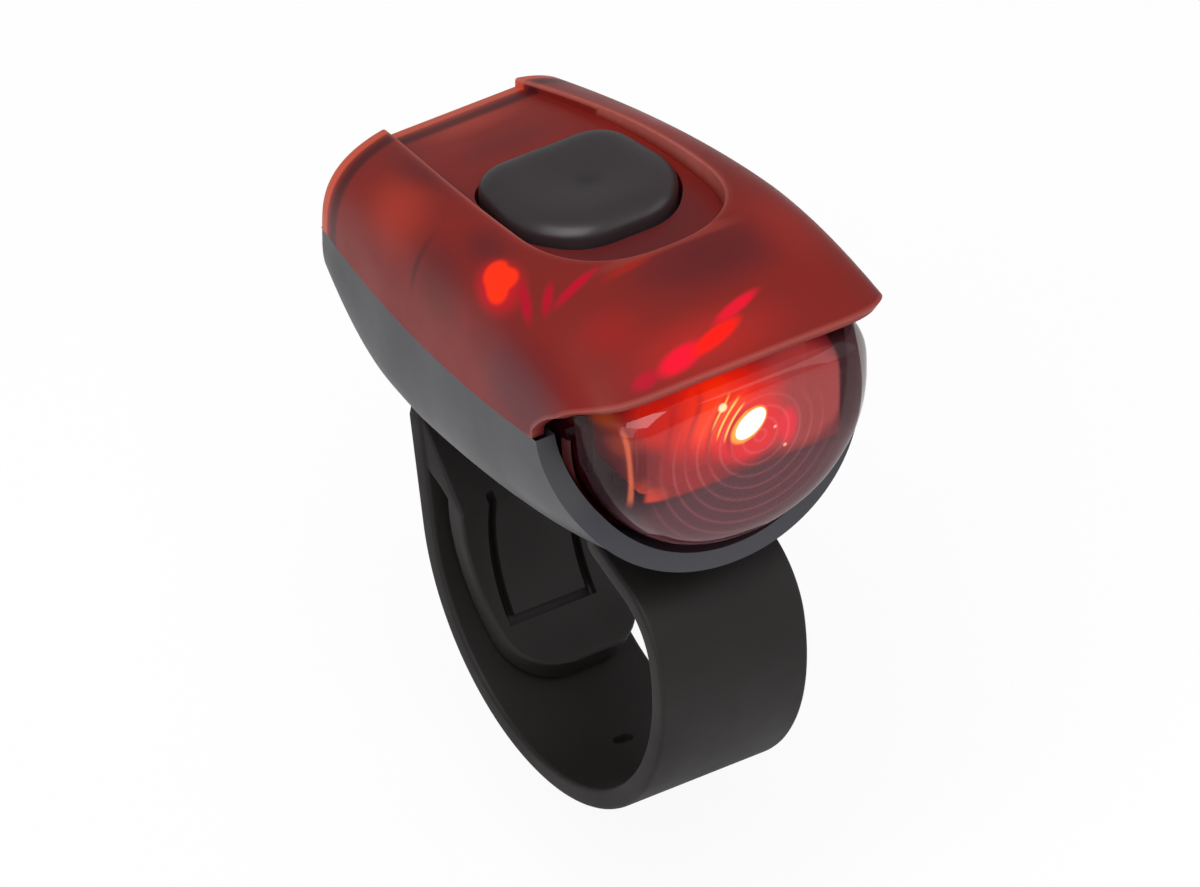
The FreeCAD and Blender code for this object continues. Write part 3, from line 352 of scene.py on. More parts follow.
def turned(bm, profile, centre, axis, across, steps):
    """Spin a profile of (distance along, radius) about an axis."""
    verts = [bm.verts.new(centre + axis * along + across * radius) for along, radius in profile]
    edges = [bm.edges.new(pair) for pair in zip(verts, verts[1:])]
    bmesh.ops.spin(bm, geom=verts + edges, cent=centre, axis=axis, angle=2 * math.pi, steps=steps,
                   use_merge=True)
    bmesh.ops.remove_doubles(bm, verts=bm.verts[:], dist=0.002)
    bmesh.ops.recalc_face_normals(bm, faces=bm.faces[:])


def joined(first, second):
    """Add a second bmesh to a first one."""
    spare = bpy.data.meshes.new("spare")
    second.to_mesh(spare)
    first.from_mesh(spare)
    bpy.data.meshes.remove(spare)
    second.free()


# Button outline

def button_corners(grow):
    back, front = 12.0 + grow, -(2.5 + grow)
    points = [(7.1 + grow, back, 3.8), (8.4 + grow, 2.2, 6.4), (4.4 + grow, front, 5.6),
              (-4.4 - grow, front, 5.6), (-8.4 - grow, 2.2, 6.4), (-7.1 - grow, back, 3.8)]
    return [(Vector((x, y, 0)), radius + grow) for x, y, radius in points]


def button_loop(grow, per_corner=9):
    """The button's rounded outline as points, anticlockwise from the back right."""
    corners = button_corners(grow)
    points = []
    for index, (corner, radius) in enumerate(corners):
        before = corners[index - 1][0]
        after = corners[(index + 1) % len(corners)][0]
        a, b = (before - corner).normalized(), (after - corner).normalized()
        half = a.angle(b) / 2
        tangent = radius / math.tan(half)
        centre = corner + (a + b).normalized() * (radius / math.sin(half))
        start, end = corner + a * tangent - centre, corner + b * tangent - centre
        turn = start.angle(end)
        normal = start.cross(end).normalized()
        for step in range(per_corner + 1):
            points.append(centre + Matrix.Rotation(turn * step / per_corner, 3, normal) @ start)
    return points


def closest_on(point, start, end):
    """The nearest point of a straight piece of outline."""
    along = end - start
    if along.length < 1e-6:
        return start
    return start + along * clamp((point - start).dot(along) / along.length_squared)


def leaned(bm):
    """Lay a flat-drawn shape on the channel's sloping floor."""
    middle = Vector((0, button_middle, 0))
    lean = Matrix.Rotation(math.radians(-button_lean), 3, "X")
    bmesh.ops.rotate(bm, cent=middle, matrix=lean, verts=bm.verts[:])
    bmesh.ops.translate(bm, vec=(0, 0, button_floor), verts=bm.verts[:])


def ray_to_loop(loop, centre, towards):
    """Where a ray from the centre meets a closed outline in plan."""
    way = (towards - centre).to_2d().normalized()
    best = None
    for index, start in enumerate(loop):
        end = loop[(index + 1) % len(loop)]
        side = (end - start).to_2d()
        gap = (start - centre).to_2d()
        cross = way.x * side.y - way.y * side.x
        if abs(cross) < 1e-9:
            continue
        reach = (gap.x * side.y - gap.y * side.x) / cross
        along = (gap.x * way.y - gap.y * way.x) / cross
        if reach > 0 and -1e-6 <= along <= 1 + 1e-6 and (best is None or reach > best):
            best = reach
    return centre + Vector((way.x, way.y, 0)) * best


# Materials

def wire(tree, kind, take, inputs=None, **options):
    """Add a node. Each input gets a value or the output that feeds it, and one named output comes back."""
    node = tree.nodes.new("ShaderNode" + kind)
    for label, value in options.items():
        setattr(node, label, value)
    for label, source in (inputs or {}).items():
        if isinstance(source, bpy.types.NodeSocket):
            tree.links.new(source, node.inputs[label])
        else:
            node.inputs[label].default_value = source
    return node.outputs[take] if take else node.outputs


def shader_group(name, inputs, outputs, build):
    """A node group with named sockets, made once."""
    tree = bpy.data.node_groups.new(name, "ShaderNodeTree")
    for label, value in inputs.items():
        kind = "NodeSocketVector" if isinstance(value, tuple) else "NodeSocketFloat"
        tree.interface.new_socket(name=label, in_out="INPUT", socket_type=kind).default_value = value
    for label in outputs:
        tree.interface.new_socket(name=label, in_out="OUTPUT", socket_type="NodeSocketFloat")
    entry = tree.nodes.new("NodeGroupInput").outputs
    leave = tree.nodes.new("NodeGroupOutput").inputs
    place = wire(tree, "TexCoord", "Object")
    for label, source in zip(outputs, build(tree, entry, place)):
        tree.links.new(source, leave[label])
    return tree


def faded(tree, value, near, far):
    """1 up to near, 0 from far on."""
    return wire(tree, "MapRange", "Result", {"Value": value, "From Min": near, "From Max": far,
                                             "To Min": 1.0, "To Max": 0.0}, interpolation_type="SMOOTHSTEP")


def build_spot(tree, entry, place):
    offset = wire(tree, "VectorMath", "Vector", {0: place, 1: entry["Centre"]}, operation="SUBTRACT")
    turned_flat = wire(tree, "VectorRotate", "Vector", {"Vector": offset, "Angle": entry["Turn"]},
                       rotation_type="Z_AXIS")
    tilted = wire(tree, "VectorRotate", "Vector", {"Vector": turned_flat, "Angle": entry["Tilt"]},
                  rotation_type="Y_AXIS")
    shrunk = wire(tree, "VectorMath", "Vector", {0: tilted, 1: entry["Reach"]}, operation="DIVIDE")
    away = wire(tree, "VectorMath", "Value", {0: shrunk}, operation="LENGTH")
    return [faded(tree, away, entry["Core"], 1.0)]


def build_band(tree, entry, place):
    along = wire(tree, "VectorMath", "Value", {0: place, 1: entry["Direction"]}, operation="DOT_PRODUCT")
    apart = wire(tree, "Math", "Value", {0: along, 1: entry["At"]}, operation="SUBTRACT")
    size = wire(tree, "Math", "Value", {0: apart}, operation="ABSOLUTE")
    return [faded(tree, size, entry["Inner"], entry["Outer"])]


def build_grain(tree, entry, place):
    fine = wire(tree, "TexNoise", "Fac", {"Detail": 6.0, "Vector": place, "Scale": entry["Scale"]})
    cloud = wire(tree, "TexNoise", "Fac", {"Detail": 3.0, "Vector": place, "Scale": 140.0})
    rough = wire(tree, "MapRange", "Result", {"Value": cloud, "From Min": 0.3, "From Max": 0.7,
                                              "To Min": entry["Low"], "To Max": entry["High"]})
    return fine, rough, cloud


soft_spot = shader_group("soft_spot", {"Centre": (0, 0, 0), "Reach": (1, 1, 1), "Turn": 0.0, "Tilt": 0.0,
                                       "Core": 0.2}, ["Mask"], build_spot)
soft_band = shader_group("soft_band", {"Direction": (0, 1, 0), "At": 0.0, "Inner": 0.0, "Outer": 1.0},
                         ["Mask"], build_band)
moulded_grain = shader_group("moulded_grain", {"Scale": 2600.0, "Low": 0.4, "High": 0.6},
                             ["Height", "Roughness", "Cloud"], build_grain)


class Finish:
    """One material being built: colours and glows are laid over each other in order."""

    grain_depth = 0.00004
    thin_lens = 0.34

    def __init__(self, name, colour, low=0.4, high=0.55, grain=2600.0, bump=0.04):
        self.material = bpy.data.materials.new(name)
        self.material.use_nodes = True
        self.tree = self.material.node_tree
        self.shader = self.tree.nodes["Principled BSDF"]
        self.colour = self.constant(colour)
        self.glow = None
        self.body = None
        texture = wire(self.tree, "Group", None, {"Scale": grain, "Low": low, "High": high},
                       node_tree=moulded_grain)
        self.cloud = texture["Cloud"]
        raised = wire(self.tree, "Bump", "Normal", {"Strength": bump, "Distance": self.grain_depth,
                                                    "Height": texture["Height"]})
        self.feed("Roughness", texture["Roughness"])
        self.feed("Normal", raised)

    def feed(self, label, source):
        self.tree.links.new(source, self.shader.inputs[label])

    def constant(self, colour):
        source = wire(self.tree, "RGB", "Color")
        source.default_value = (*colour, 1.0)
        return source

    def product(self, first, second):
        return wire(self.tree, "Math", "Value", {0: first, 1: second}, operation="MULTIPLY")

    def over(self, under, colour, mask, share):
        return wire(self.tree, "Mix", "Result", {"Factor": self.product(mask, share), "A": under,
                                                 "B": (*colour, 1.0)}, data_type="RGBA")

    def tint(self, colour, mask, share=1.0):
        self.colour = self.over(self.colour, colour, mask, share)

    def light(self, colour, mask, share=1.0):
        if self.glow is None:
            self.glow = self.constant((0.0, 0.0, 0.0))
        self.glow = self.over(self.glow, colour, mask, share)

    def flare(self, colour, mask, share=1.0):
        """A glow that also hides the moulding's own colour, so it stays deep."""
        self.tint((0.02, 0.0, 0.0), mask, share)
        self.light(colour, mask, share)

    def thicken(self, mask, share):
        """Make the see-through lens denser where the mask is."""
        thin = self.thin_lens if self.body is None else self.body
        self.body = wire(self.tree, "Mix", "Result", {"Factor": self.product(mask, share), "A": thin, "B": 1.0})

    def painted(self, name):
        """The mask that a piece carries on its own points."""
        return wire(self.tree, "Attribute", "Fac", attribute_name=name)

    def mottle(self, colour, share):
        self.tint(colour, self.cloud, share)

    def spot(self, centre, reach, core=0.1, turn=0.0, tilt=0.0):
        return wire(self.tree, "Group", "Mask", {
            "Centre": [value * 0.001 for value in centre], "Reach": [value * 0.001 for value in reach],
            "Turn": math.radians(-turn), "Tilt": math.radians(tilt), "Core": core}, node_tree=soft_spot)

    def spots(self, lay, *rows):
        """Lay soft spots in order. A row is colour, share, centre, reach, core and a streak's turn and tilt."""
        for colour, share, *place in rows:
            lay(colour, self.spot(*place), share)

    def band(self, direction, at, inner, outer):
        return wire(self.tree, "Group", "Mask", {
            "Direction": direction, "At": at * 0.001, "Inner": inner * 0.001, "Outer": outer * 0.001},
            node_tree=soft_band)

    def rings(self, centre, pitch, sharp):
        """Concentric rings about an axis along Y, as a mask for painted light on the lens's ridges."""
        place = wire(self.tree, "TexCoord", "Object")
        shift = wire(self.tree, "Mapping", "Vector", {"Location": [-value * 0.001 for value in centre],
                                                      "Vector": place})
        wave = wire(self.tree, "TexWave", "Fac", {"Scale": 1000.0 / pitch * 0.314, "Vector": shift},
                    wave_type="RINGS", rings_direction="Y")
        return wire(self.tree, "Math", "Value", {0: wave, 1: sharp}, operation="POWER")

    def done(self, **settings):
        names = {"metallic": "Metallic", "coat": "Coat Weight", "coat_roughness": "Coat Roughness",
                 "ior": "IOR", "specular": "Specular IOR Level"}
        self.feed("Base Color", self.colour)
        if self.glow is not None:
            self.feed("Emission Color", self.glow)
            self.shader.inputs["Emission Strength"].default_value = 1.0
        if self.body is not None:
            self.feed("Alpha", self.body)
        for label, value in settings.items():
            self.shader.inputs[names[label]].default_value = value
        return self.material


def red_cover_finish():
    """Frosted red moulding with painted light and shade: darker over the parts it hides, lighter at its edges,
    with painted glows and streaks of light.
    """
    made = Finish("frosted_red", (0.25, 0.016, 0.011), 0.32, 0.44, 3200.0, 0.05)
    made.mottle((0.17, 0.016, 0.014), 0.8)
    # Painted light and shade of the see-through moulding: dark spots where the parts inside and the button's
    # well shade it, paler spots where more light comes through.
    made.spots(
        made.tint,
        ((0.46, 0.040, 0.020), 0.75, (-11.8, 13.5, 34.5), (3.8, 7.5, 5.5), 0.1),
        ((0.12, 0.014, 0.014), 0.70, (-8.9, 14, 37), (2.2, 12, 2.8), 0.1),
        ((0.10, 0.014, 0.016), 0.75, (0, -1.0, 38.6), (11.5, 9.5, 1.9), 0.4),
        ((0.085, 0.012, 0.016), 0.72, (2.5, -11.0, 41), (11, 5.5, 4), 0.15),
        ((0.105, 0.011, 0.018), 0.85, (-15.6, -10, 33), (3.8, 10, 7.5), 0.15),
        ((0.090, 0.012, 0.016), 0.60, (-14.2, 4.5, 35), (3.4, 7.0, 6.0), 0.1),
        ((0.085, 0.012, 0.016), 0.60, (-11.6, 1.5, 39), (2.4, 5.0, 4.0), 0.1),
        ((0.33, 0.014, 0.012), 0.65, (-9.5, -14.0, 39), (4.6, 3.6, 4.0), 0.1),
        ((0.34, 0.024, 0.016), 0.60, (10.0, 9.0, 37.5), (4.0, 11.0, 4.0), 0.1),
        ((0.34, 0.024, 0.018), 0.50, (10.5, -10.0, 39.5), (4.5, 7.0, 4.0), 0.1),
        ((0.40, 0.045, 0.026), 0.75, (0, 22.4, 35.2), (7.5, 3.4, 2.0), 0.1),
        ((0.13, 0.014, 0.014), 0.50, (0, 16.5, 36.4), (6.8, 3.4, 1.2), 0.2))
    # Painted shade in a dark band just inside the back edge, and painted light on the back edge itself, where
    # light comes through the thin moulding.
    made.tint((0.055, 0.008, 0.010), made.band((0, 1, 0), 23.2, 0.25, 0.95), 0.8)
    made.tint((0.66, 0.105, 0.055), made.band((0, 1, 0), body_back, 1.0, 1.5), 0.92)
    # Painted shade: the dark line of a rib inside the cover, seen through it.
    rib_shadow = made.product(made.band((0.1, 0.99, 0.08), 9.6, 0.1, 0.55),
                       made.spot((-14.5, 7, 34.5), (3.4, 4, 4.6), 0.3))
    made.tint((0.07, 0.010, 0.010), rib_shadow, 0.7)
    # Painted highlight across the roof at the channel's front end.
    nose = made.product(made.band((0, 1, 0), -8.2, 0.25, 0.75), made.spot((0, -8.2, 41), (8.5, 3, 3.0), 0.5))
    made.tint((0.40, 0.060, 0.045), nose, 0.35)
    # Painted light: the side lamp's glow seen through the cover, with painted streaks of its light.
    made.spots(
        made.flare,
        ((0.62, 0.004, 0.016), 0.80, (-13.3, -3.0, 38.8), (3.0, 4.2, 3.0), 0.3),
        ((1.0, 0.030, 0.002), 1.0, (-12.9, -1.6, 39.2), (1.6, 1.5, 1.6), 0.6),
        ((1.0, 0.030, 0.002), 1.0, (-12.7, -3.1, 39.5), (1.3, 1.5, 1.4), 0.6),
        ((1.0, 0.030, 0.002), 1.0, (-13.7, -3.2, 38.6), (1.2, 1.7, 1.4), 0.6),
        ((1.0, 0.030, 0.002), 1.0, (-13.2, -2.5, 39.1), (1.7, 1.9, 1.6), 0.6),
        ((0.46, 0.0, 0.02), 0.85, (-13.1, -6.6, 39.2), (0.65, 2.9, 2.8), 0.3, -24.0),
        ((0.46, 0.0, 0.02), 0.90, (-11.8, -8.0, 40.1), (0.65, 2.4, 2.8), 0.3, -40.0),
        ((0.50, 0.0, 0.02), 0.95, (-9.4, -8.5, 40.7), (3.8, 0.65, 2.8), 0.3, 17.0),
        ((0.42, 0.012, 0.006), 0.60, (-4.6, -9.0, 41.0), (3.8, 0.7, 2.4), 0.1, 6.0))
    # Painted light on the visor: the lamp's glow and bright streaks of light reflected from the lens's ridges.
    made.light((0.26, 0.004, 0.004), made.spot((-3, -18.5, 38.4), (11, 4.4, 4), 0.0), 0.8)
    made.spots(
        made.flare,
        ((0.55, 0.003, 0.03), 0.80, (-9.4, -19.4, 37.9), (2.0, 1.0, 2.4), 0.3, 10.0),
        ((0.95, 0.004, 0.030), 1.0, (-5.6, -18.9, 38.2), (3.3, 1.25, 2.4), 0.45, 14.0),
        ((1.0, 0.010, 0.004), 1.0, (-1.6, -18.2, 38.4), (3.8, 0.9, 2.4), 0.5, 16.0),
        ((0.85, 0.004, 0.03), 0.95, (1.6, -16.4, 38.9), (3.6, 0.7, 2.4), 0.4, 16.0))
    # Painted highlight along the channel's rims and the cover's front edge.
    made.tint((0.56, 0.16, 0.13), made.painted("crest_highlight"), 0.7)
    return made.done(coat=0.04, coat_roughness=0.2, ior=1.42, specular=0.26)


def clear_lens_finish():
    """Glossy smoked dome with painted light: pale rings where its ridges catch light about the lamp, the lamp's
    image and the glows that the ridges bend.
    """
    made = Finish("smoked_lens", (0.115, 0.030, 0.040), 0.04, 0.07, 900.0, 0.0)
    # Painted light and shade: paler on the lens's right side, where light comes through it, and painted shade
    # on its left side.
    made.spots(made.tint, ((0.19, 0.075, 0.090), 0.9, (13, -18, 26), (5, 9, 12), 0.2),
               ((0.060, 0.026, 0.036), 0.8, (-12.5, -18, 27), (5, 8, 7), 0.2))
    # Painted glow of the lit reflector panel seen through the lens.
    panel = made.product(made.band((0, 0, 1), 33.0, 6.3, 6.75), made.band((1, 0, 0), -1.1, 9.3, 9.8))
    made.flare((0.17, 0.010, 0.012), panel, 0.75)
    made.thicken(panel, 0.55)
    # Painted glows of the lamp's light on the lens, over the panel and beside it.
    for colour, share, cover, behind, centre, reach, core in (
            ((0.36, 0.036, 0.036), 0.90, 0.72, panel, (4.4, -22, 31.6), (6.0, 7, 5.6), 0.7),
            ((0.30, 0.008, 0.010), 0.85, 0.75, panel, (-6.0, -22, 29.8), (5.5, 7, 5.6), 0.4),
            ((0.85, 0.012, 0.001), 0.97, 0.97, panel, (-3.4, -22, 33.4), (7.6, 7, 5.4), 0.35),
            ((0.62, 0.010, 0.001), 0.80, 0.85, None, (-9.2, -21, 34.0), (4.2, 7, 3.0), 0.30),
            ((1.00, 0.045, 0.001), 0.95, 0.95, panel, (-3.6, -22, 33.0), (4.4, 7, 3.2), 0.30),
            ((0.80, 0.004, 0.012), 0.90, 0.95, panel, (-0.6, -22, 30.4), (4.4, 7, 3.8), 0.55)):
        mask = made.spot(centre, reach, core)
        if behind is not None:
            mask = made.product(mask, behind)
        made.flare(colour, mask, share)
        made.thicken(mask, cover)
    # Painted reflections: yellow-orange streaks of the lamp's light left of it.
    made.spots(made.light, ((0.50, 0.075, 0.004), 0.9, (-13.0, -17.8, 34.2), (1.8, 3.5, 1.3), 0.2),
               ((0.40, 0.050, 0.003), 0.8, (-12.2, -20, 32.4), (1.3, 3.5, 1.5), 0.3))
    # Painted reflection: a thin orange line of light on the lens's left part.
    line = made.product(made.band((1, 0, 0.06), -10.0, 0.05, 0.30),
                        made.spot((-12.0, -21, 30.0), (3, 4, 5.0), 0.6))
    made.light((0.62, 0.090, 0.006), line, 0.9)
    made.thicken(line, 0.8)
    # Painted glow of the panel's lit lower left corner seen through the lens.
    corner = made.product(panel, made.spot((-10.4, -21.5, 26.9), (2.4, 3, 1.6), 0.1))
    made.light((0.75, 0.050, 0.016), corner, 0.9)
    # Painted highlights and glow in rings, where the lens's ridges catch the lamp's light.
    ridge_highlight = made.product(made.rings((0.4, -22, 29.6), 1.15, 7.0),
                         made.spot((-1.5, -22, 26.5), (11.5, 6, 9.5), 0.55))
    made.tint((0.28, 0.085, 0.095), ridge_highlight, 0.42)
    made.light((0.28, 0.030, 0.030), ridge_highlight, 0.13)
    wide_ridge_glow = made.product(made.rings((0.4, -22, 30.2), 2.1, 5.0),
                              made.spot((-5.5, -22, 31.5), (6.0, 5, 5.6), 0.5))
    made.flare((0.34, 0.0, 0.010), wide_ridge_glow, 0.55)
    # Painted glow: a small magenta arc of the lamp's light.
    arc = made.spot((3.2, -22, 29.6), (1.3, 4, 2.6), 0.4)
    made.light((0.85, 0.004, 0.030), arc, 0.8)
    made.thicken(arc, 0.7)
    # Painted light: the lamp's hot core and its rings of glare on the lens, with small painted glints.
    hot = made.product(made.rings((2.2, -22, 29.2), 0.85, 7.0),
                       made.spot((-2.7, -22, 32.5), (2.0, 4, 2.6), 0.5))
    made.light((1.5, 0.75, 0.12), hot, 1.0)
    made.spots(
        made.light,
        ((1.3, 0.42, 0.03), 0.9, (-0.75, -22, 31.15), (2.2, 4, 1.55), 0.8, 0.0, 38.0),
        ((1.7, 1.6, 1.45), 1.0, (-0.55, -22, 31.2), (1.8, 4, 1.2), 0.86, 0.0, 38.0),
        ((1.5, 0.9, 0.5), 0.9, (-3.3, -22, 33.9), (0.55, 4, 0.5), 0.5),
        ((1.4, 0.5, 0.3), 0.9, (1.9, -22, 29.9), (0.22, 4, 0.22), 0.3),
        ((1.4, 0.5, 0.3), 0.9, (2.9, -22, 27.6), (0.25, 4, 0.25), 0.3))
    made.thicken(made.spot((0, -22, 17.0), (22, 9, 13.0), 0.7), 0.72)
    # Painted light: the lens's right edge paler, where light comes through it.
    edge = made.spot((14.0, -16, 29), (3.2, 9, 12), 0.3)
    made.tint((0.20, 0.095, 0.11), edge, 0.8)
    made.thicken(edge, 0.6)
    # Painted shade: the groove at the lens's foot is made dark and nearly opaque, with a faint painted red glow
    # in it.
    groove = made.band((0, -1, lip_lean), 18.0, 5.1, 5.5)
    made.thicken(groove, 1.0)
    made.tint((0.016, 0.001, 0.002), groove, 1.0)
    made.light((0.0, 0.0, 0.0), groove, 1.0)
    made.light((0.060, 0.0, 0.001), made.product(groove, made.spot((5, -19, 17), (16, 9, 7), 0.4)), 1.0)
    return made.done(coat=0.28, coat_roughness=0.03, ior=1.46, specular=0.45)


def button_finish():
    """Charcoal rubber, darker in a spot in the middle of its top."""
    made = Finish("soft_button", (0.030, 0.022, 0.025), 0.34, 0.44, 3000.0, 0.06)
    made.mottle((0.022, 0.017, 0.019), 0.6)
    made.tint((0.009, 0.008, 0.010), made.spot((0.2, button_middle - 0.4, 40), (1.9, 1.5, 4), 0.1), 0.75)
    return made.done(coat=0.1, coat_roughness=0.25)


def housing_finish():
    """Dark satin moulding, a little bluer and darker on its lip, with a patch of painted light low on its left
    side.
    """
    made = Finish("dark_moulding", (0.058, 0.059, 0.066), 0.36, 0.48, 3400.0, 0.08)
    made.mottle((0.046, 0.047, 0.053), 0.5)
    made.tint((0.036, 0.036, 0.048), made.band((0, -1, lip_lean), 23.4, 0.6, 1.4), 0.85)
    # Painted light: a paler patch low on the left side.
    made.tint((0.12, 0.12, 0.128), made.spot((-11, -9, 17), (5, 9, 4), 0.1), 0.5)
    return made.done(coat=0.08, coat_roughness=0.3, ior=1.47)


def lamp_finish():
    made = Finish("lit_lamp", (0.5, 0.12, 0.08), 0.08, 0.14)
    made.spots(made.light, ((1.1, 0.05, 0.015), 1.0, (0, -15, lamp_z), (6, 12, 6), 0.5),
               ((1.5, 0.4, 0.06), 1.0, (0, -17.5, lamp_z + 0.3), (1.7, 3.0, 1.5), 0.6))
    return made.done(ior=1.5)


def reflector_finish():
    """Red mirror panel, lit round the lamp and on its lower left corner."""
    made = Finish("red_reflector", (0.34, 0.028, 0.024), 0.3, 0.42)
    made.mottle((0.20, 0.016, 0.016), 0.6)
    # Painted glow of the lamp's light on the panel, round the lamp and on its lower left corner.
    made.spots(made.light, ((0.10, 0.005, 0.004), 1.0, (0, -16, lamp_z), (14, 14, 11), 0.3),
               ((0.55, 0.02, 0.008), 0.9, (0, -16, lamp_z + 0.5), (7, 12, 6), 0.1),
               ((0.50, 0.05, 0.02), 0.9, (-8.4, -16.8, 23.6), (2.4, 2.5, 2.0), 0.1))
    made.spots(made.tint, ((0.05, 0.008, 0.01), 0.7, (6.6, -15.9, 31.6), (1.5, 2, 0.9), 0.2),
               ((0.05, 0.008, 0.01), 0.6, (4.3, -15.9, 32.0), (1.2, 2, 0.5), 0.2))
    return made.done(coat=0.1, coat_roughness=0.2)


def plain(name, colour, low, high, grain=2600.0, bump=0.05, **settings):
    made = Finish(name, colour, low, high, grain, bump)
    made.mottle([value * 0.72 for value in colour], 0.55)
    return made.done(**settings)


finishes = {
    "red_cover": red_cover_finish(),
    "dark_housing": housing_finish(),
    "clear_lens": clear_lens_finish(),
    "red_seal": plain("deep_red_seal", (0.045, 0.002, 0.003), 0.35, 0.5, specular=0.2),
    "black_seal": plain("black_seal", (0.022, 0.021, 0.022), 0.6, 0.75),
    "button_plastic": button_finish(),
    "black_plastic": plain("black_component", (0.02, 0.02, 0.021), 0.5, 0.6),
    "white_plastic": plain("ivory_component", (0.6, 0.58, 0.52), 0.4, 0.5),
    "circuit_laminate": plain("green_laminate", (0.02, 0.11, 0.05), 0.3, 0.4),
    "lamp_resin": lamp_finish(),
    "red_reflector": reflector_finish(),
    "side_lamp": plain("side_lamp", (0.8, 0.25, 0.2), 0.3, 0.4),
    "cell_foil": plain("cell_foil", (0.62, 0.63, 0.65), 0.25, 0.4, metallic=0.8),
    "foam": plain("grey_foam", (0.05, 0.05, 0.055), 0.85, 0.95, 1200.0, 0.4),
    "tape": plain("pale_tape", (0.6, 0.57, 0.45), 0.6, 0.7),
    "red_insulation": plain("red_insulation", (0.45, 0.02, 0.02), 0.4, 0.5),
    "black_insulation": plain("black_insulation", (0.02, 0.02, 0.02), 0.4, 0.5),
    "port_metal": plain("port_metal", (0.6, 0.6, 0.62), 0.25, 0.35, metallic=1.0),
    "screw_steel": plain("screw_steel", (0.42, 0.42, 0.44), 0.3, 0.4, metallic=1.0),
    "strap_silicone": plain("strap_silicone", (0.013, 0.01, 0.0094), 0.5, 0.62, 2200.0, 0.07, specular=0.32),
    "pin_steel": plain("pin_steel", (0.4, 0.4, 0.42), 0.28, 0.4, metallic=1.0),
}


# Pieces

def on_back(point):
    return abs(point.y - body_back) < 0.003


def soften_back(bm, others=()):
    """Round the edges that lie on the flat back, and any others that are given."""
    soften(bm, sharp_edges(bm, 40.0, on_back) + list(others), 0.3)


def make_cover():
    """The red upper shell: skin with its channel, floor round the button, back wall and inner skin."""
    bm = bmesh.new()
    columns = 168
    well = [Vector((point.x, point.y, 0)) for point in button_loop(0.3)]
    centre = Vector((0, button_middle, 0))

    def outside(u, v):
        x, y = channel_edge(u)
        angle = angle_at(x, y)
        end_angle, end_y = cover_rim(u)
        return skin(y + (end_y - y) * v, angle + (end_angle - angle) * v)

    def rail(u, v):
        x, y = channel_edge(u)
        top = skin(y, angle_at(x, y))
        return Vector((x, y, top.z + (channel_floor(y) - top.z) * v))

    def floor_between(outer, v):
        hole = ray_to_loop(well, centre, outer)
        point = outer.lerp(hole, v)
        return Vector((point.x, point.y, channel_floor(point.y)))

    def floor(u, v):
        return floor_between(Vector((*channel_edge(u), 0)), v)

    def floor_back(u, v):
        return floor_between(Vector((channel_tail - 2 * channel_tail * u, body_back, 0)), v)

    def well_wall(u, v):
        return floor(u, 1.0) - Z * cover_wall * v

    def rim(u, v):
        angle, y = cover_rim(u)
        return skin(y, angle).lerp(skin(y, angle, cover_wall_at(y)), v)

    def inside(u, v):
        angle, y = cover_rim(u)
        back = y + max(0.0, channel_nose - y) * v
        return skin(back, angle + (math.pi / 2 - angle) * v * 0.12, cover_wall_at(back))

    patch(bm, columns, 34, outside)
    patch(bm, columns, 2, rail)
    patch(bm, columns, 6, floor)
    patch(bm, 20, 6, floor_back)
    weld(bm)
    open_back = [edge for edge in bm.edges
                 if len(edge.link_faces) == 1 and all(on_back(vert.co) for vert in edge.verts)]
    seam = seam_height(body_back)
    ends = [vert for vert in bm.verts
            if on_back(vert.co) and abs(abs(vert.co.x) - tail_half) < 0.01 and vert.co.z < seam + 0.01]
    closing = bm.edges.new(ends[:2])
    bmesh.ops.triangle_fill(bm, use_beauty=True, use_dissolve=True, edges=open_back + [closing])
    bmesh.ops.recalc_face_normals(bm, faces=bm.faces[:])
    channel_rims = []
    for edge in sharp_edges(bm, 40.0):
        middle = (edge.verts[0].co + edge.verts[1].co) / 2
        if (not on_back(middle) and middle.z > channel_floor(middle.y) + 0.5
                and abs(middle.x) < channel_side + 0.3):
            channel_rims.append(edge)
    soften_back(bm, channel_rims)
    patch(bm, columns, 1, well_wall)
    patch(bm, columns, 1, rim)
    patch(bm, columns, 14, inside)
    weld(bm)
    paint_crest_highlights(bm)
    finish_piece("cover_shell", bm, "light", "top_cover", "red_cover")


def paint_crest_highlights(bm):
    """Mark the points on the channel's rims and the cover's front edge that carry a painted highlight."""
    crest_highlight = bm.verts.layers.float.new("crest_highlight")
    front_highlight, front_width, rim_spread = 0.55, 0.12, 0.09
    front_rim = [cover_rim(0.25 + 0.5 * index / 300) for index in range(301)]
    front_line = [skin(y, angle) for angle, y in front_rim]
    channel_line = [channel_edge((index + 0.5) / 400) for index in range(400)]
    for vert in bm.verts:
        x, y, z = vert.co
        if y < -11 and min((point - vert.co).length for point in front_line) < front_width:
            vert[crest_highlight] = front_highlight
        elif z >= channel_floor(y) + 0.6 and abs(x) <= 10.2 and y >= -9.5:
            nearest = min((line_x - x) ** 2 + (line_y - y) ** 2 for line_x, line_y in channel_line)
            fade = 0.35 + 0.65 * clamp((y + 8.0) / 10.0)
            vert[crest_highlight] = fade * math.exp(-nearest / rim_spread)


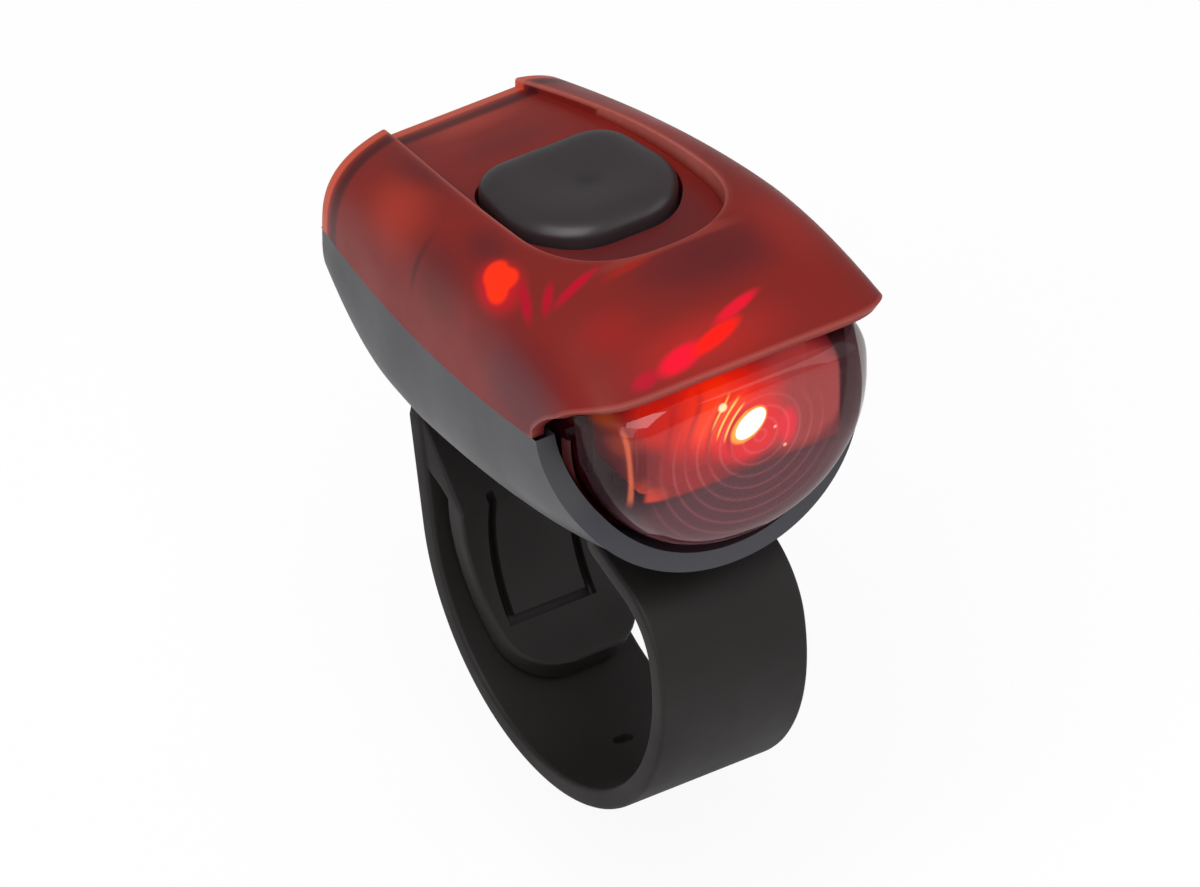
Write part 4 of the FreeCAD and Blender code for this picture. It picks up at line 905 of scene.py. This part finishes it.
def make_housing():
    """The dark lower shell with its lip, screw wells, ears, peg and hinge eyes."""
    bm = bmesh.new()
    columns = 96

    def front(u):
        angle = math.pi + math.pi * u
        return angle, front_y(angle, lip_reach)

    def outside(u, v):
        angle, y = front(u)
        return skin(body_back + (y - body_back) * v, angle)

    def lip(u, v):
        angle, y = front(u)
        return skin(y, angle).lerp(skin(y, angle, housing_wall), v)

    def inside(u, v):
        angle, y = front(u)
        return skin(y + (cavity_back - y) * v, angle, housing_wall)

    patch(bm, columns, 60, outside)
    weld(bm)
    for x, y in ((9.8, 18.6), (-9.8, 18.6), (10.6, -6.0), (-10.6, -6.0)):
        sink_well(bm, x, y)
    close_back(bm)
    weld(bm)
    soften_back(bm)
    patch(bm, columns, 1, lip)
    patch(bm, columns, 20, inside)
    weld(bm)
    for side in (-1, 1):
        joined(bm, hinge_ear(side))
        joined(bm, flap_eye(side))
    peg = bmesh.new()
    turned(peg, [(0.0, 0.0), (0.0, 0.7), (0.16, 1.05), (0.56, 1.25), (3.6, 1.25)],
           Vector((0, peg_y, 11.29)), Z, X, 32)
    joined(bm, peg)
    finish_piece("housing_shell", bm, "light", "lower_housing", "dark_housing")


def sink_well(bm, x, y):
    """Open a round screw well in the underside and carry it up to its seat."""
    well_radius, cut_radius, seat_z, count = 2.05, 2.75, 20.6, 32
    centre = Vector((x, y, 0))

    def away(point):
        return (Vector((point.x, point.y, 0)) - centre).length

    near = []
    for face in bm.faces:
        middle = face.calc_center_median()
        if middle.z < 24 and away(middle) < cut_radius:
            near.append(face)
    bmesh.ops.delete(bm, geom=near, context="FACES")
    ragged = [edge for edge in bm.edges if len(edge.link_faces) == 1
              and all(away(vert.co) < 4.5 and vert.co.z < 25 for vert in edge.verts)]
    mouth = [bm.verts.new((point.x, point.y, under_height(point.x, point.y)))
             for point in disc_points(centre, X, Y, well_radius, count)]
    circle = [bm.edges.new((mouth[index], mouth[(index + 1) % count])) for index in range(count)]
    bmesh.ops.bridge_loops(bm, edges=ragged + circle)
    wall = bmesh.ops.extrude_edge_only(bm, edges=circle)["geom"]
    seat = [part for part in wall if isinstance(part, bmesh.types.BMVert)]
    for vert in seat:
        vert.co.z = seat_z
    bm.faces.new(seat)


def close_back(bm):
    """The flat back of the housing with the port's opening and its short sleeve."""
    sleeve = 1.5
    outline = [vert.co.copy() for vert in bm.verts if on_back(vert.co)]
    outline += [Vector((x, body_back, seam_height(body_back))) for x in range(12, -13, -2)]
    outline.sort(key=lambda point: math.atan2(point.z - port_z, point.x))
    port = []
    for angle in turns(56, 0.5):
        x, z = squarish(angle, 4.2, 1.7)
        port.append(Vector((x, port_z + z, 0)))
    inner = []
    for point in outline:
        hit = ray_to_loop(port, Vector((0, port_z, 0)), Vector((point.x, point.z, 0)))
        inner.append(Vector((hit.x, body_back, hit.y)))
    rows = [[bm.verts.new(point) for point in loop]
            for loop in (outline, inner, [point - Y * sleeve for point in inner])]
    for index in range(len(outline)):
        after = (index + 1) % len(outline)
        for near, far in zip(rows, rows[1:]):
            bm.faces.new((near[index], near[after], far[after], far[index]))


def hinge_ear(side):
    """An ear under the tail that holds one end of the strap's pin."""
    ear = bmesh.new()
    inner_x, thick, top_reach = 5.6, 1.7, 9.0
    centre = Vector((side * inner_x, pin_y, pin_z))
    outline, hole = [], []
    for angle in turns(40):
        c, s = math.cos(angle), math.sin(angle)
        reach = min(lug_radius / max(abs(c), 1e-6), top_reach / s) if s > 0 else lug_radius
        outline.append(centre + Y * reach * c + Z * reach * s)
        hole.append(centre + Y * c + Z * s)
    slab(ear, outline, X * side * thick, hole)
    soften(ear, sharp_edges(ear, keep=lambda point: (point - centre).length > 1.9 and point.z < 21), 0.25, 2)
    return ear


def flap_eye(side):
    """An eye on the back wall that holds one end of the flap's bead."""
    eye = bmesh.new()
    inner_x, thick, radius, bore = 5.0, 1.6, 1.5, 0.8
    axle = Vector((side * inner_x, flap_y, flap_z))
    ring = disc_points(axle, Y, Z, radius, 32)
    for point in ring:
        if point.y < 25.9:
            point.y = 25.2
    slab(eye, ring, X * side * thick, disc_points(axle, Y, Z, bore, 32))
    soften(eye, sharp_edges(eye, keep=lambda point: (point - axle).yz.length > 1.2 and point.y > 25.8), 0.12, 2)
    return eye


def lens_point(size, angle, inset=0.0):
    """A point of the lens dome: size runs from 1 at its rim to 0 at the middle of its front."""
    c, s = math.cos(angle), math.sin(angle)
    power = 4.1 if s > 0 else 2.1
    reach = (abs(c) ** power + abs(s) ** power) ** (-1 / power)
    ahead = lens_depth * (1 - size ** 7.5) ** 0.25
    rise = lens_rise if s > 0 else lens_drop
    return Vector(((lens_half - inset) * size * reach * c, -(lens_back + ahead) + 0.08 * size ** 2,
                   lens_z + (rise - inset) * size * reach * s))


def make_lens():
    bm = bmesh.new()
    shoulder, glass = 0.08, 1.5

    def dome(u, v):
        size = 1 - (v * 2) ** 3 * shoulder if v < 0.5 else (1 - shoulder) * (1 - (v - 0.5) * 2)
        return lens_point(size, 2 * math.pi * u)

    def rim(u, v):
        return lens_point(1.0, 2 * math.pi * u).lerp(lens_point(1.0, 2 * math.pi * u, glass), v)

    patch(bm, 144, 60, dome)
    patch(bm, 144, 1, rim)
    weld(bm)
    finish_piece("lens_dome", bm, "light", "front_lens", "clear_lens", 60.0)


def make_lens_seal():
    """The dark red channel between the lens and the lip."""
    bm = bmesh.new()
    seal_y = -14.6

    def band(u, v):
        angle = math.pi * (1 + u)
        outer = skin(seal_y, angle, housing_wall)
        inner = lens_point(1.0, angle)
        return Vector((outer.x + (inner.x - outer.x) * v, seal_y + 4 * (v - 0.5) ** 2,
                       outer.z + (inner.z - outer.z) * v))

    patch(bm, 96, 8, band)
    weld(bm)
    finish_piece("lens_seal", bm, "light", "lens_gasket", "red_seal")


def make_reflector():
    """A panel with a lipped edge and a bowl round the lamp."""
    bm = bmesh.new()
    columns = 96
    middle_z = (23.0 + 33.6) / 2
    face_y, bowl_foot, bowl_flare, bowl_depth = -15.9, 2.75, 1.45, 5.2
    steps = [(8.6, 5.3, -10.2), (8.6, 5.3, -16.6), (8.45, 5.15, -16.8), (7.8, 4.5, -16.8), (7.6, 4.3, -16.7),
             (7.6, 4.3, face_y)]

    def framed(u, half, high, y):
        x, z = squarish(2 * math.pi * u, half, high, 9)
        return Vector((x, y, middle_z + z))

    def round_lamp(u, y, radius):
        way = Vector((math.cos(2 * math.pi * u), 0, math.sin(2 * math.pi * u)))
        return Vector((0, y, lamp_z)) + way * radius

    def casing(u, v):
        return framed(u, *steps[int(round(v * (len(steps) - 1)))])

    def panel(u, v):
        return framed(u, *steps[-1]).lerp(round_lamp(u, face_y, bowl_foot + bowl_flare), v)

    def bowl(u, v):
        turn = v * math.pi / 2
        return round_lamp(u, face_y + bowl_depth * math.sin(turn), bowl_foot + bowl_flare * math.cos(turn))

    patch(bm, columns, len(steps) - 1, casing)
    patch(bm, columns, 4, panel)
    patch(bm, columns, 12, bowl)
    weld(bm)
    finish_piece("reflector_panel", bm, "light", "reflector", "red_reflector")


def make_lamp():
    bm = bmesh.new()
    radius, foot = 2.5, 4.6
    profile = [(0.0, 0.0), (0.0, 2.9), (0.9, 2.9), (1.0, 2.8), (1.0, radius), (foot, radius)]
    for step in range(1, 13):
        angle = math.radians(7.5 * step)
        profile.append((foot + radius * math.sin(angle), radius * math.cos(angle)))
    turned(bm, profile, Vector((0, -10.0, lamp_z)), -Y, X, 64)
    finish_piece("lamp_dome", bm, "light", "main_led", "lamp_resin")


def make_button():
    """A soft pillow-edged button with a shallow dish, on its flange and stem."""
    bm = bmesh.new()
    loop = button_loop(0.0)
    ends = loop[1:] + loop[:1]
    centre = Vector((0, button_middle, 0))
    crown, side, foot, pillow = 2.0, 0.35, -3.4, 3.6

    def dome(u, v):
        flat = loop[int(round(u * len(loop))) % len(loop)].lerp(centre, v ** 1.6)
        inward = min((closest_on(flat, a, b) - flat).length for a, b in zip(loop, ends))
        share = 1 - clamp(inward / pillow)
        away = (flat - centre).length
        dish = 0.38 * math.exp(-(away / 3.4) ** 2) + 0.06 * math.exp(-(away / 1.0) ** 2)
        return flat + Z * (side + (crown - side) * (1 - share ** 2.8) ** 0.5 - dish)

    def wall(u, v):
        return loop[int(round(u * len(loop))) % len(loop)] + Z * (side + (foot - side) * v)

    patch(bm, len(loop), 30, dome)
    patch(bm, len(loop), 2, wall)
    weld(bm)
    close_holes(bm)
    flange = bmesh.new()
    slab(flange, [point + Z * foot for point in button_loop(1.2)], Z * 1.0)
    joined(bm, flange)
    leaned(bm)
    stem = bmesh.new()
    stem_foot = Vector((0, button_middle, 33.65))
    turned(stem, [(0.0, 0.0), (0.0, 1.8), (0.2, 2.0), (3.4, 2.0)], stem_foot, Z, X, 32)
    joined(bm, stem)
    finish_piece("button_cap", bm, "button", "power_button", "button_plastic", 40.0)


# Strap

def from_bar(degrees):
    """The direction away from the bar at an angle that starts in front and goes over the top."""
    angle = math.radians(degrees)
    return Vector((0, -math.cos(angle), math.sin(angle)))


def loop_point(radius, degrees):
    angle = math.radians(degrees)
    return Vector((0, -radius * math.cos(angle), loop_z + radius * math.sin(angle)))


def strap_path():
    """Middle line of the strap with its outward direction, from the hinge eye to the tab's end."""
    corner_middle, corner_shift, tab_angle, tab_end = 7.05, 2.3, 72.0, -5.2
    away = Vector((0, pin_y, pin_z - loop_z))
    pin_angle = math.degrees(math.atan2(away.z, -away.y))
    touch = pin_angle + math.degrees(math.acos(strap_middle / away.length))
    gap = strap_middle - corner_middle
    corner = math.degrees(math.asin(corner_shift / gap))
    corner_centre = loop_point(gap, corner)
    first = loop_point(strap_middle, touch)
    start = Vector((0, pin_y, pin_z))
    path = [(start.lerp(first, step / 16), from_bar(touch)) for step in range(16)]
    turn = 360 + corner - touch
    for step in range(110):
        angle = touch + turn * step / 110
        path.append((loop_point(strap_middle, angle), from_bar(angle)))
    for step in range(20):
        angle = corner + (tab_angle - corner) * step / 20
        path.append((corner_centre + from_bar(angle) * corner_middle, from_bar(angle)))
    tab_start = corner_centre + from_bar(tab_angle) * corner_middle
    slope = math.radians(90 - tab_angle)
    direction = Vector((0, math.cos(slope), math.sin(slope)))
    run = (tab_end - tab_start.y) / direction.y
    for step in range(25):
        path.append((tab_start + direction * run * step / 24, from_bar(tab_angle)))
    return path


def make_strap():
    bm = bmesh.new()
    path = strap_path()
    shoulder_start, shoulder_round, tab_round = 3.3, 1.3, 3.2
    length = [0.0]
    for before, after in zip(path, path[1:]):
        length.append(length[-1] + (after[0] - before[0]).length)
    stations = []
    for (middle, way), run in zip(path, length):
        wide = strap_half_wide
        if run < shoulder_start + shoulder_round:
            wide = eye_half + 2.1 * math.sqrt(1 - (1 - clamp((run - shoulder_start) / shoulder_round)) ** 2)
        left = length[-1] - run
        if left < tab_round:
            wide = strap_half_wide - tab_round + math.sqrt(max(0.0, tab_round ** 2 - (tab_round - left) ** 2))
        stations.append((middle, way, strap_half_thick, wide))
    rounded_bar(bm, stations, 0.42)
    slot = bmesh.new()
    outline = []
    for angle in turns(32, 0.5):
        x, y = stadium(angle, 1.6, 0.7, along_y=True)
        outline.append(Vector((x, peg_y + y, 7.0)))
    slab(slot, outline, Z * 8.0)
    cut_with(bm, slot)
    dimple = bmesh.new()
    slab(dimple, [Vector((*stadium(angle, 0.6, 0.35), 0)) for angle in turns(24, 0.5)], Z * 3.0)
    lean = Matrix.Rotation(math.radians(-5), 3, "X")
    bmesh.ops.rotate(dimple, cent=(0, 0, 0), matrix=lean, verts=dimple.verts[:])
    bmesh.ops.translate(dimple, vec=loop_point(17.7, 275), verts=dimple.verts[:])
    cut_with(bm, dimple)
    eye = bmesh.new()
    axle = Vector((-eye_half, pin_y, pin_z))
    slab(eye, disc_points(axle, Y, Z, eye_radius, 40), X * 2 * eye_half, disc_points(axle, Y, Z, 1.05, 40))
    soften(eye, sharp_edges(eye, keep=lambda point: (point - axle).yz.length > 2), 0.25, 2)
    joined(bm, eye)
    finish_piece("strap_band", bm, "strap_loop", "strap", "strap_silicone", 38.0)


def make_tongue():
    """The tongue on the loop's back wall, with its framed gripping face."""
    thick, half, root_z, root_half = 2.4, 7.2, 6.0, 2.6
    start, sweep, tip_round, steps = 170, 75, 4.4, 48
    bm = bmesh.new()
    wall = strap_path()
    top, away = wall[0]
    fall = (wall[15][0] - top).normalized()
    seat = top - away * strap_half_thick + fall * ((root_z - top.z) / fall.z)
    way = from_bar(start)
    stations = [(seat + away * 0.7, fall, root_half, half)]
    for step in range(6):
        upper = (seat - fall * root_half).lerp(way * bar_grip, step / 6)
        lower = (seat + fall * root_half).lerp(way * (bar_grip + thick), step / 6)
        stations.append(((upper + lower) / 2, (lower - upper).normalized(), (lower - upper).length / 2, half))
    for step in range(steps + 1):
        degrees = start + sweep * step / steps
        way = from_bar(degrees)
        left = math.radians(start + sweep - degrees) * bar_grip
        wide = half - 0.9 * step / steps
        if left < tip_round:
            wide = wide - tip_round + max(0.35, math.sqrt(max(0.0, tip_round ** 2 - (tip_round - left) ** 2)))
        stations.append((way * (bar_grip + thick / 2) + X * 1.5 * step / steps, way, thick / 2, wide))
    rounded_bar(bm, stations, 0.35)
    groove, block = bmesh.new(), bmesh.new()
    for tool, first, last, middle, half_thick, half_wide in (
            (groove, 166, 223, bar_grip - 0.05, 0.95, 4.4), (block, 150, 219.4, bar_grip, 2.4, 3.6)):
        ways = [from_bar(first + (last - first) * step / 30) for step in range(31)]
        rounded_bar(tool, [(way * middle, way, half_thick, half_wide) for way in ways], 0.3)
    cut_with(groove, block)
    cut_with(bm, groove)
    finish_piece("grip_tongue", bm, "strap_loop", "strap_tongue", "strap_silicone", 38.0)


def make_saddle():
    """The pad between the housing's underside and the bar."""
    bm = bmesh.new()
    half = 5.75
    start, end = math.radians(70), math.radians(136)
    outline = []
    for step in range(33):
        angle = start + (end - start) * step / 32
        outline.append(Vector((-half, -bar_grip * math.cos(angle), bar_grip * math.sin(angle))))
    back_y, front = outline[-1].y, outline[0].y
    for step in range(9):
        y = back_y + (front - back_y) * step / 8
        outline.append(Vector((-half, y, under_height(0, y))))
    slab(bm, outline, X * 2 * half)
    soften(bm, sharp_edges(bm), 0.2, 2)
    finish_piece("saddle_rest", bm, "light", "saddle_pad", "strap_silicone")


def make_flap():
    """The soft port flap with its neck, bead, plug and lifting tab."""
    bm = bmesh.new()
    face_y, out_y, face_z = 25.65, 26.95, 25.05

    def block(half, low, high, y, depth):
        """A block across the flap."""
        made = bmesh.new()
        corners = ((-half, low), (half, low), (half, high), (-half, high))
        slab(made, [Vector((x, y, z)) for x, z in corners], Y * depth)
        return made

    outline = []
    for angle in turns(48, 0.5):
        x, z = squarish(angle, 6.6, 1.35)
        outline.append(Vector((x, face_y, face_z + z)))
    slab(bm, outline, Y * (out_y - face_y))
    joined(bm, block(4.7, flap_z, 24.6, face_y, out_y - face_y))
    soften(bm, sharp_edges(bm), 0.25, 3)
    bead = bmesh.new()
    turned(bead, [(0.0, 0.0), (0.0, 0.6), (0.15, 0.75), (12.45, 0.75), (12.6, 0.6), (12.6, 0.0)],
           Vector((-6.3, flap_y, flap_z)), X, Z, 32)
    joined(bm, bead)
    for half, low, high, y, depth in ((3.7, 22.6, 25.0, 24.95, 0.75), (2, 25.1, 25.9, 26.5, 1.05)):
        part = block(half, low, high, y, depth)
        soften(part, sharp_edges(part), 0.2, 2)
        joined(bm, part)
    finish_piece("port_cap", bm, "flap", "port_flap", "black_seal")


make_cover()
make_housing()
make_lens()
make_lens_seal()
make_reflector()
make_lamp()
make_button()
make_strap()
make_tongue()
make_saddle()
make_flap()

slot_of = {entry["node"]: entry["material_slot"] for entry in frame["record"]["subparts"]}
for name, node in frame["nodes"].items():
    node.data.materials.clear()
    node.data.materials.append(finishes[slot_of[name]])


# Studio

def camera_only(tree, lit, seen, share, output):
    """Show a surface as it is lit, and mostly as plain white where the camera sees it directly."""
    camera_ray = wire(tree, "LightPath", "Is Camera Ray")
    factor = wire(tree, "Math", "Value", {0: camera_ray, 1: share}, operation="MULTIPLY")
    blend = wire(tree, "MixShader", "Shader", {"Fac": factor, 1: lit, 2: seen})
    tree.links.new(blend, tree.nodes[output].inputs["Surface"])


def make_floor():
    """A pale floor, low enough for the strap to swing open above it."""
    swing_room, half = 0.0145, 3.0
    bm = bmesh.new()
    bmesh.ops.create_grid(bm, x_segments=2, y_segments=2, size=half)
    bmesh.ops.translate(bm, vec=(0, 0, cad_box[0][2] - swing_room), verts=bm.verts[:])
    floor = as_object("pale_floor", bm)
    bm.free()
    material = bpy.data.materials.new("pale_floor")
    material.use_nodes = True
    tree = material.node_tree
    shader = tree.nodes["Principled BSDF"]
    shader.inputs["Base Color"].default_value = (0.86, 0.86, 0.86, 1)
    shader.inputs["Roughness"].default_value = 0.9
    shader.inputs["Specular IOR Level"].default_value = 0.1
    white = wire(tree, "Emission", "Emission", {"Strength": 1.04})
    camera_only(tree, shader.outputs["BSDF"], white, 0.86, "Material Output")
    floor.data.materials.append(material)


def make_world():
    world = bpy.data.worlds.new("studio")
    bpy.context.scene.world = world
    world.use_nodes = True
    tree = world.node_tree
    backdrop = tree.nodes["Background"]
    backdrop.inputs["Color"].default_value = (1, 1, 1, 1)
    backdrop.inputs["Strength"].default_value = 0.34
    seen = wire(tree, "Background", "Background", {"Color": (1, 1, 1, 1), "Strength": 1.0})
    camera_only(tree, backdrop.outputs["Background"], seen, 1.0, "World Output")


def softbox(name, direction, size, power):
    """A square lamp that looks at the light from a direction."""
    distance = 0.6
    lamp = bpy.data.lights.new(name, "AREA")
    lamp.size = size
    lamp.energy = power
    holder = bpy.data.objects.new(name, lamp)
    bpy.context.scene.collection.objects.link(holder)
    middle = Vector((0.0, 0.0, 0.02))
    holder.location = middle + Vector(direction).normalized() * distance
    holder.rotation_euler = (middle - holder.location).to_track_quat("-Z", "Y").to_euler()


def make_camera():
    azimuth, elevation, distance = math.radians(-33.0), math.radians(37.08), 3.0
    target = Vector((0.0026, 0.0061, 0.010))
    back = Vector((math.sin(azimuth) * math.cos(elevation), -math.cos(azimuth) * math.cos(elevation),
                   math.sin(elevation)))
    data = bpy.data.cameras.new("camera")
    data.lens = 1060.0
    data.sensor_width = 36.0
    data.clip_end = 20.0
    camera = bpy.data.objects.new("camera", data)
    camera.location = target + back * distance
    camera.rotation_euler = (-back).to_track_quat("-Z", "Y").to_euler()
    bpy.context.scene.collection.objects.link(camera)
    bpy.context.scene.camera = camera


make_floor()
make_world()
softbox("key", (-0.5, -0.5, 1.1), 0.5, 2.6)
softbox("side", (-1.0, -0.5, 0.35), 0.35, 0.55)
softbox("fill", (1.0, -0.7, 0.5), 0.5, 0.8)
make_camera()
bpy.context.scene.view_settings.view_transform = "Standard"
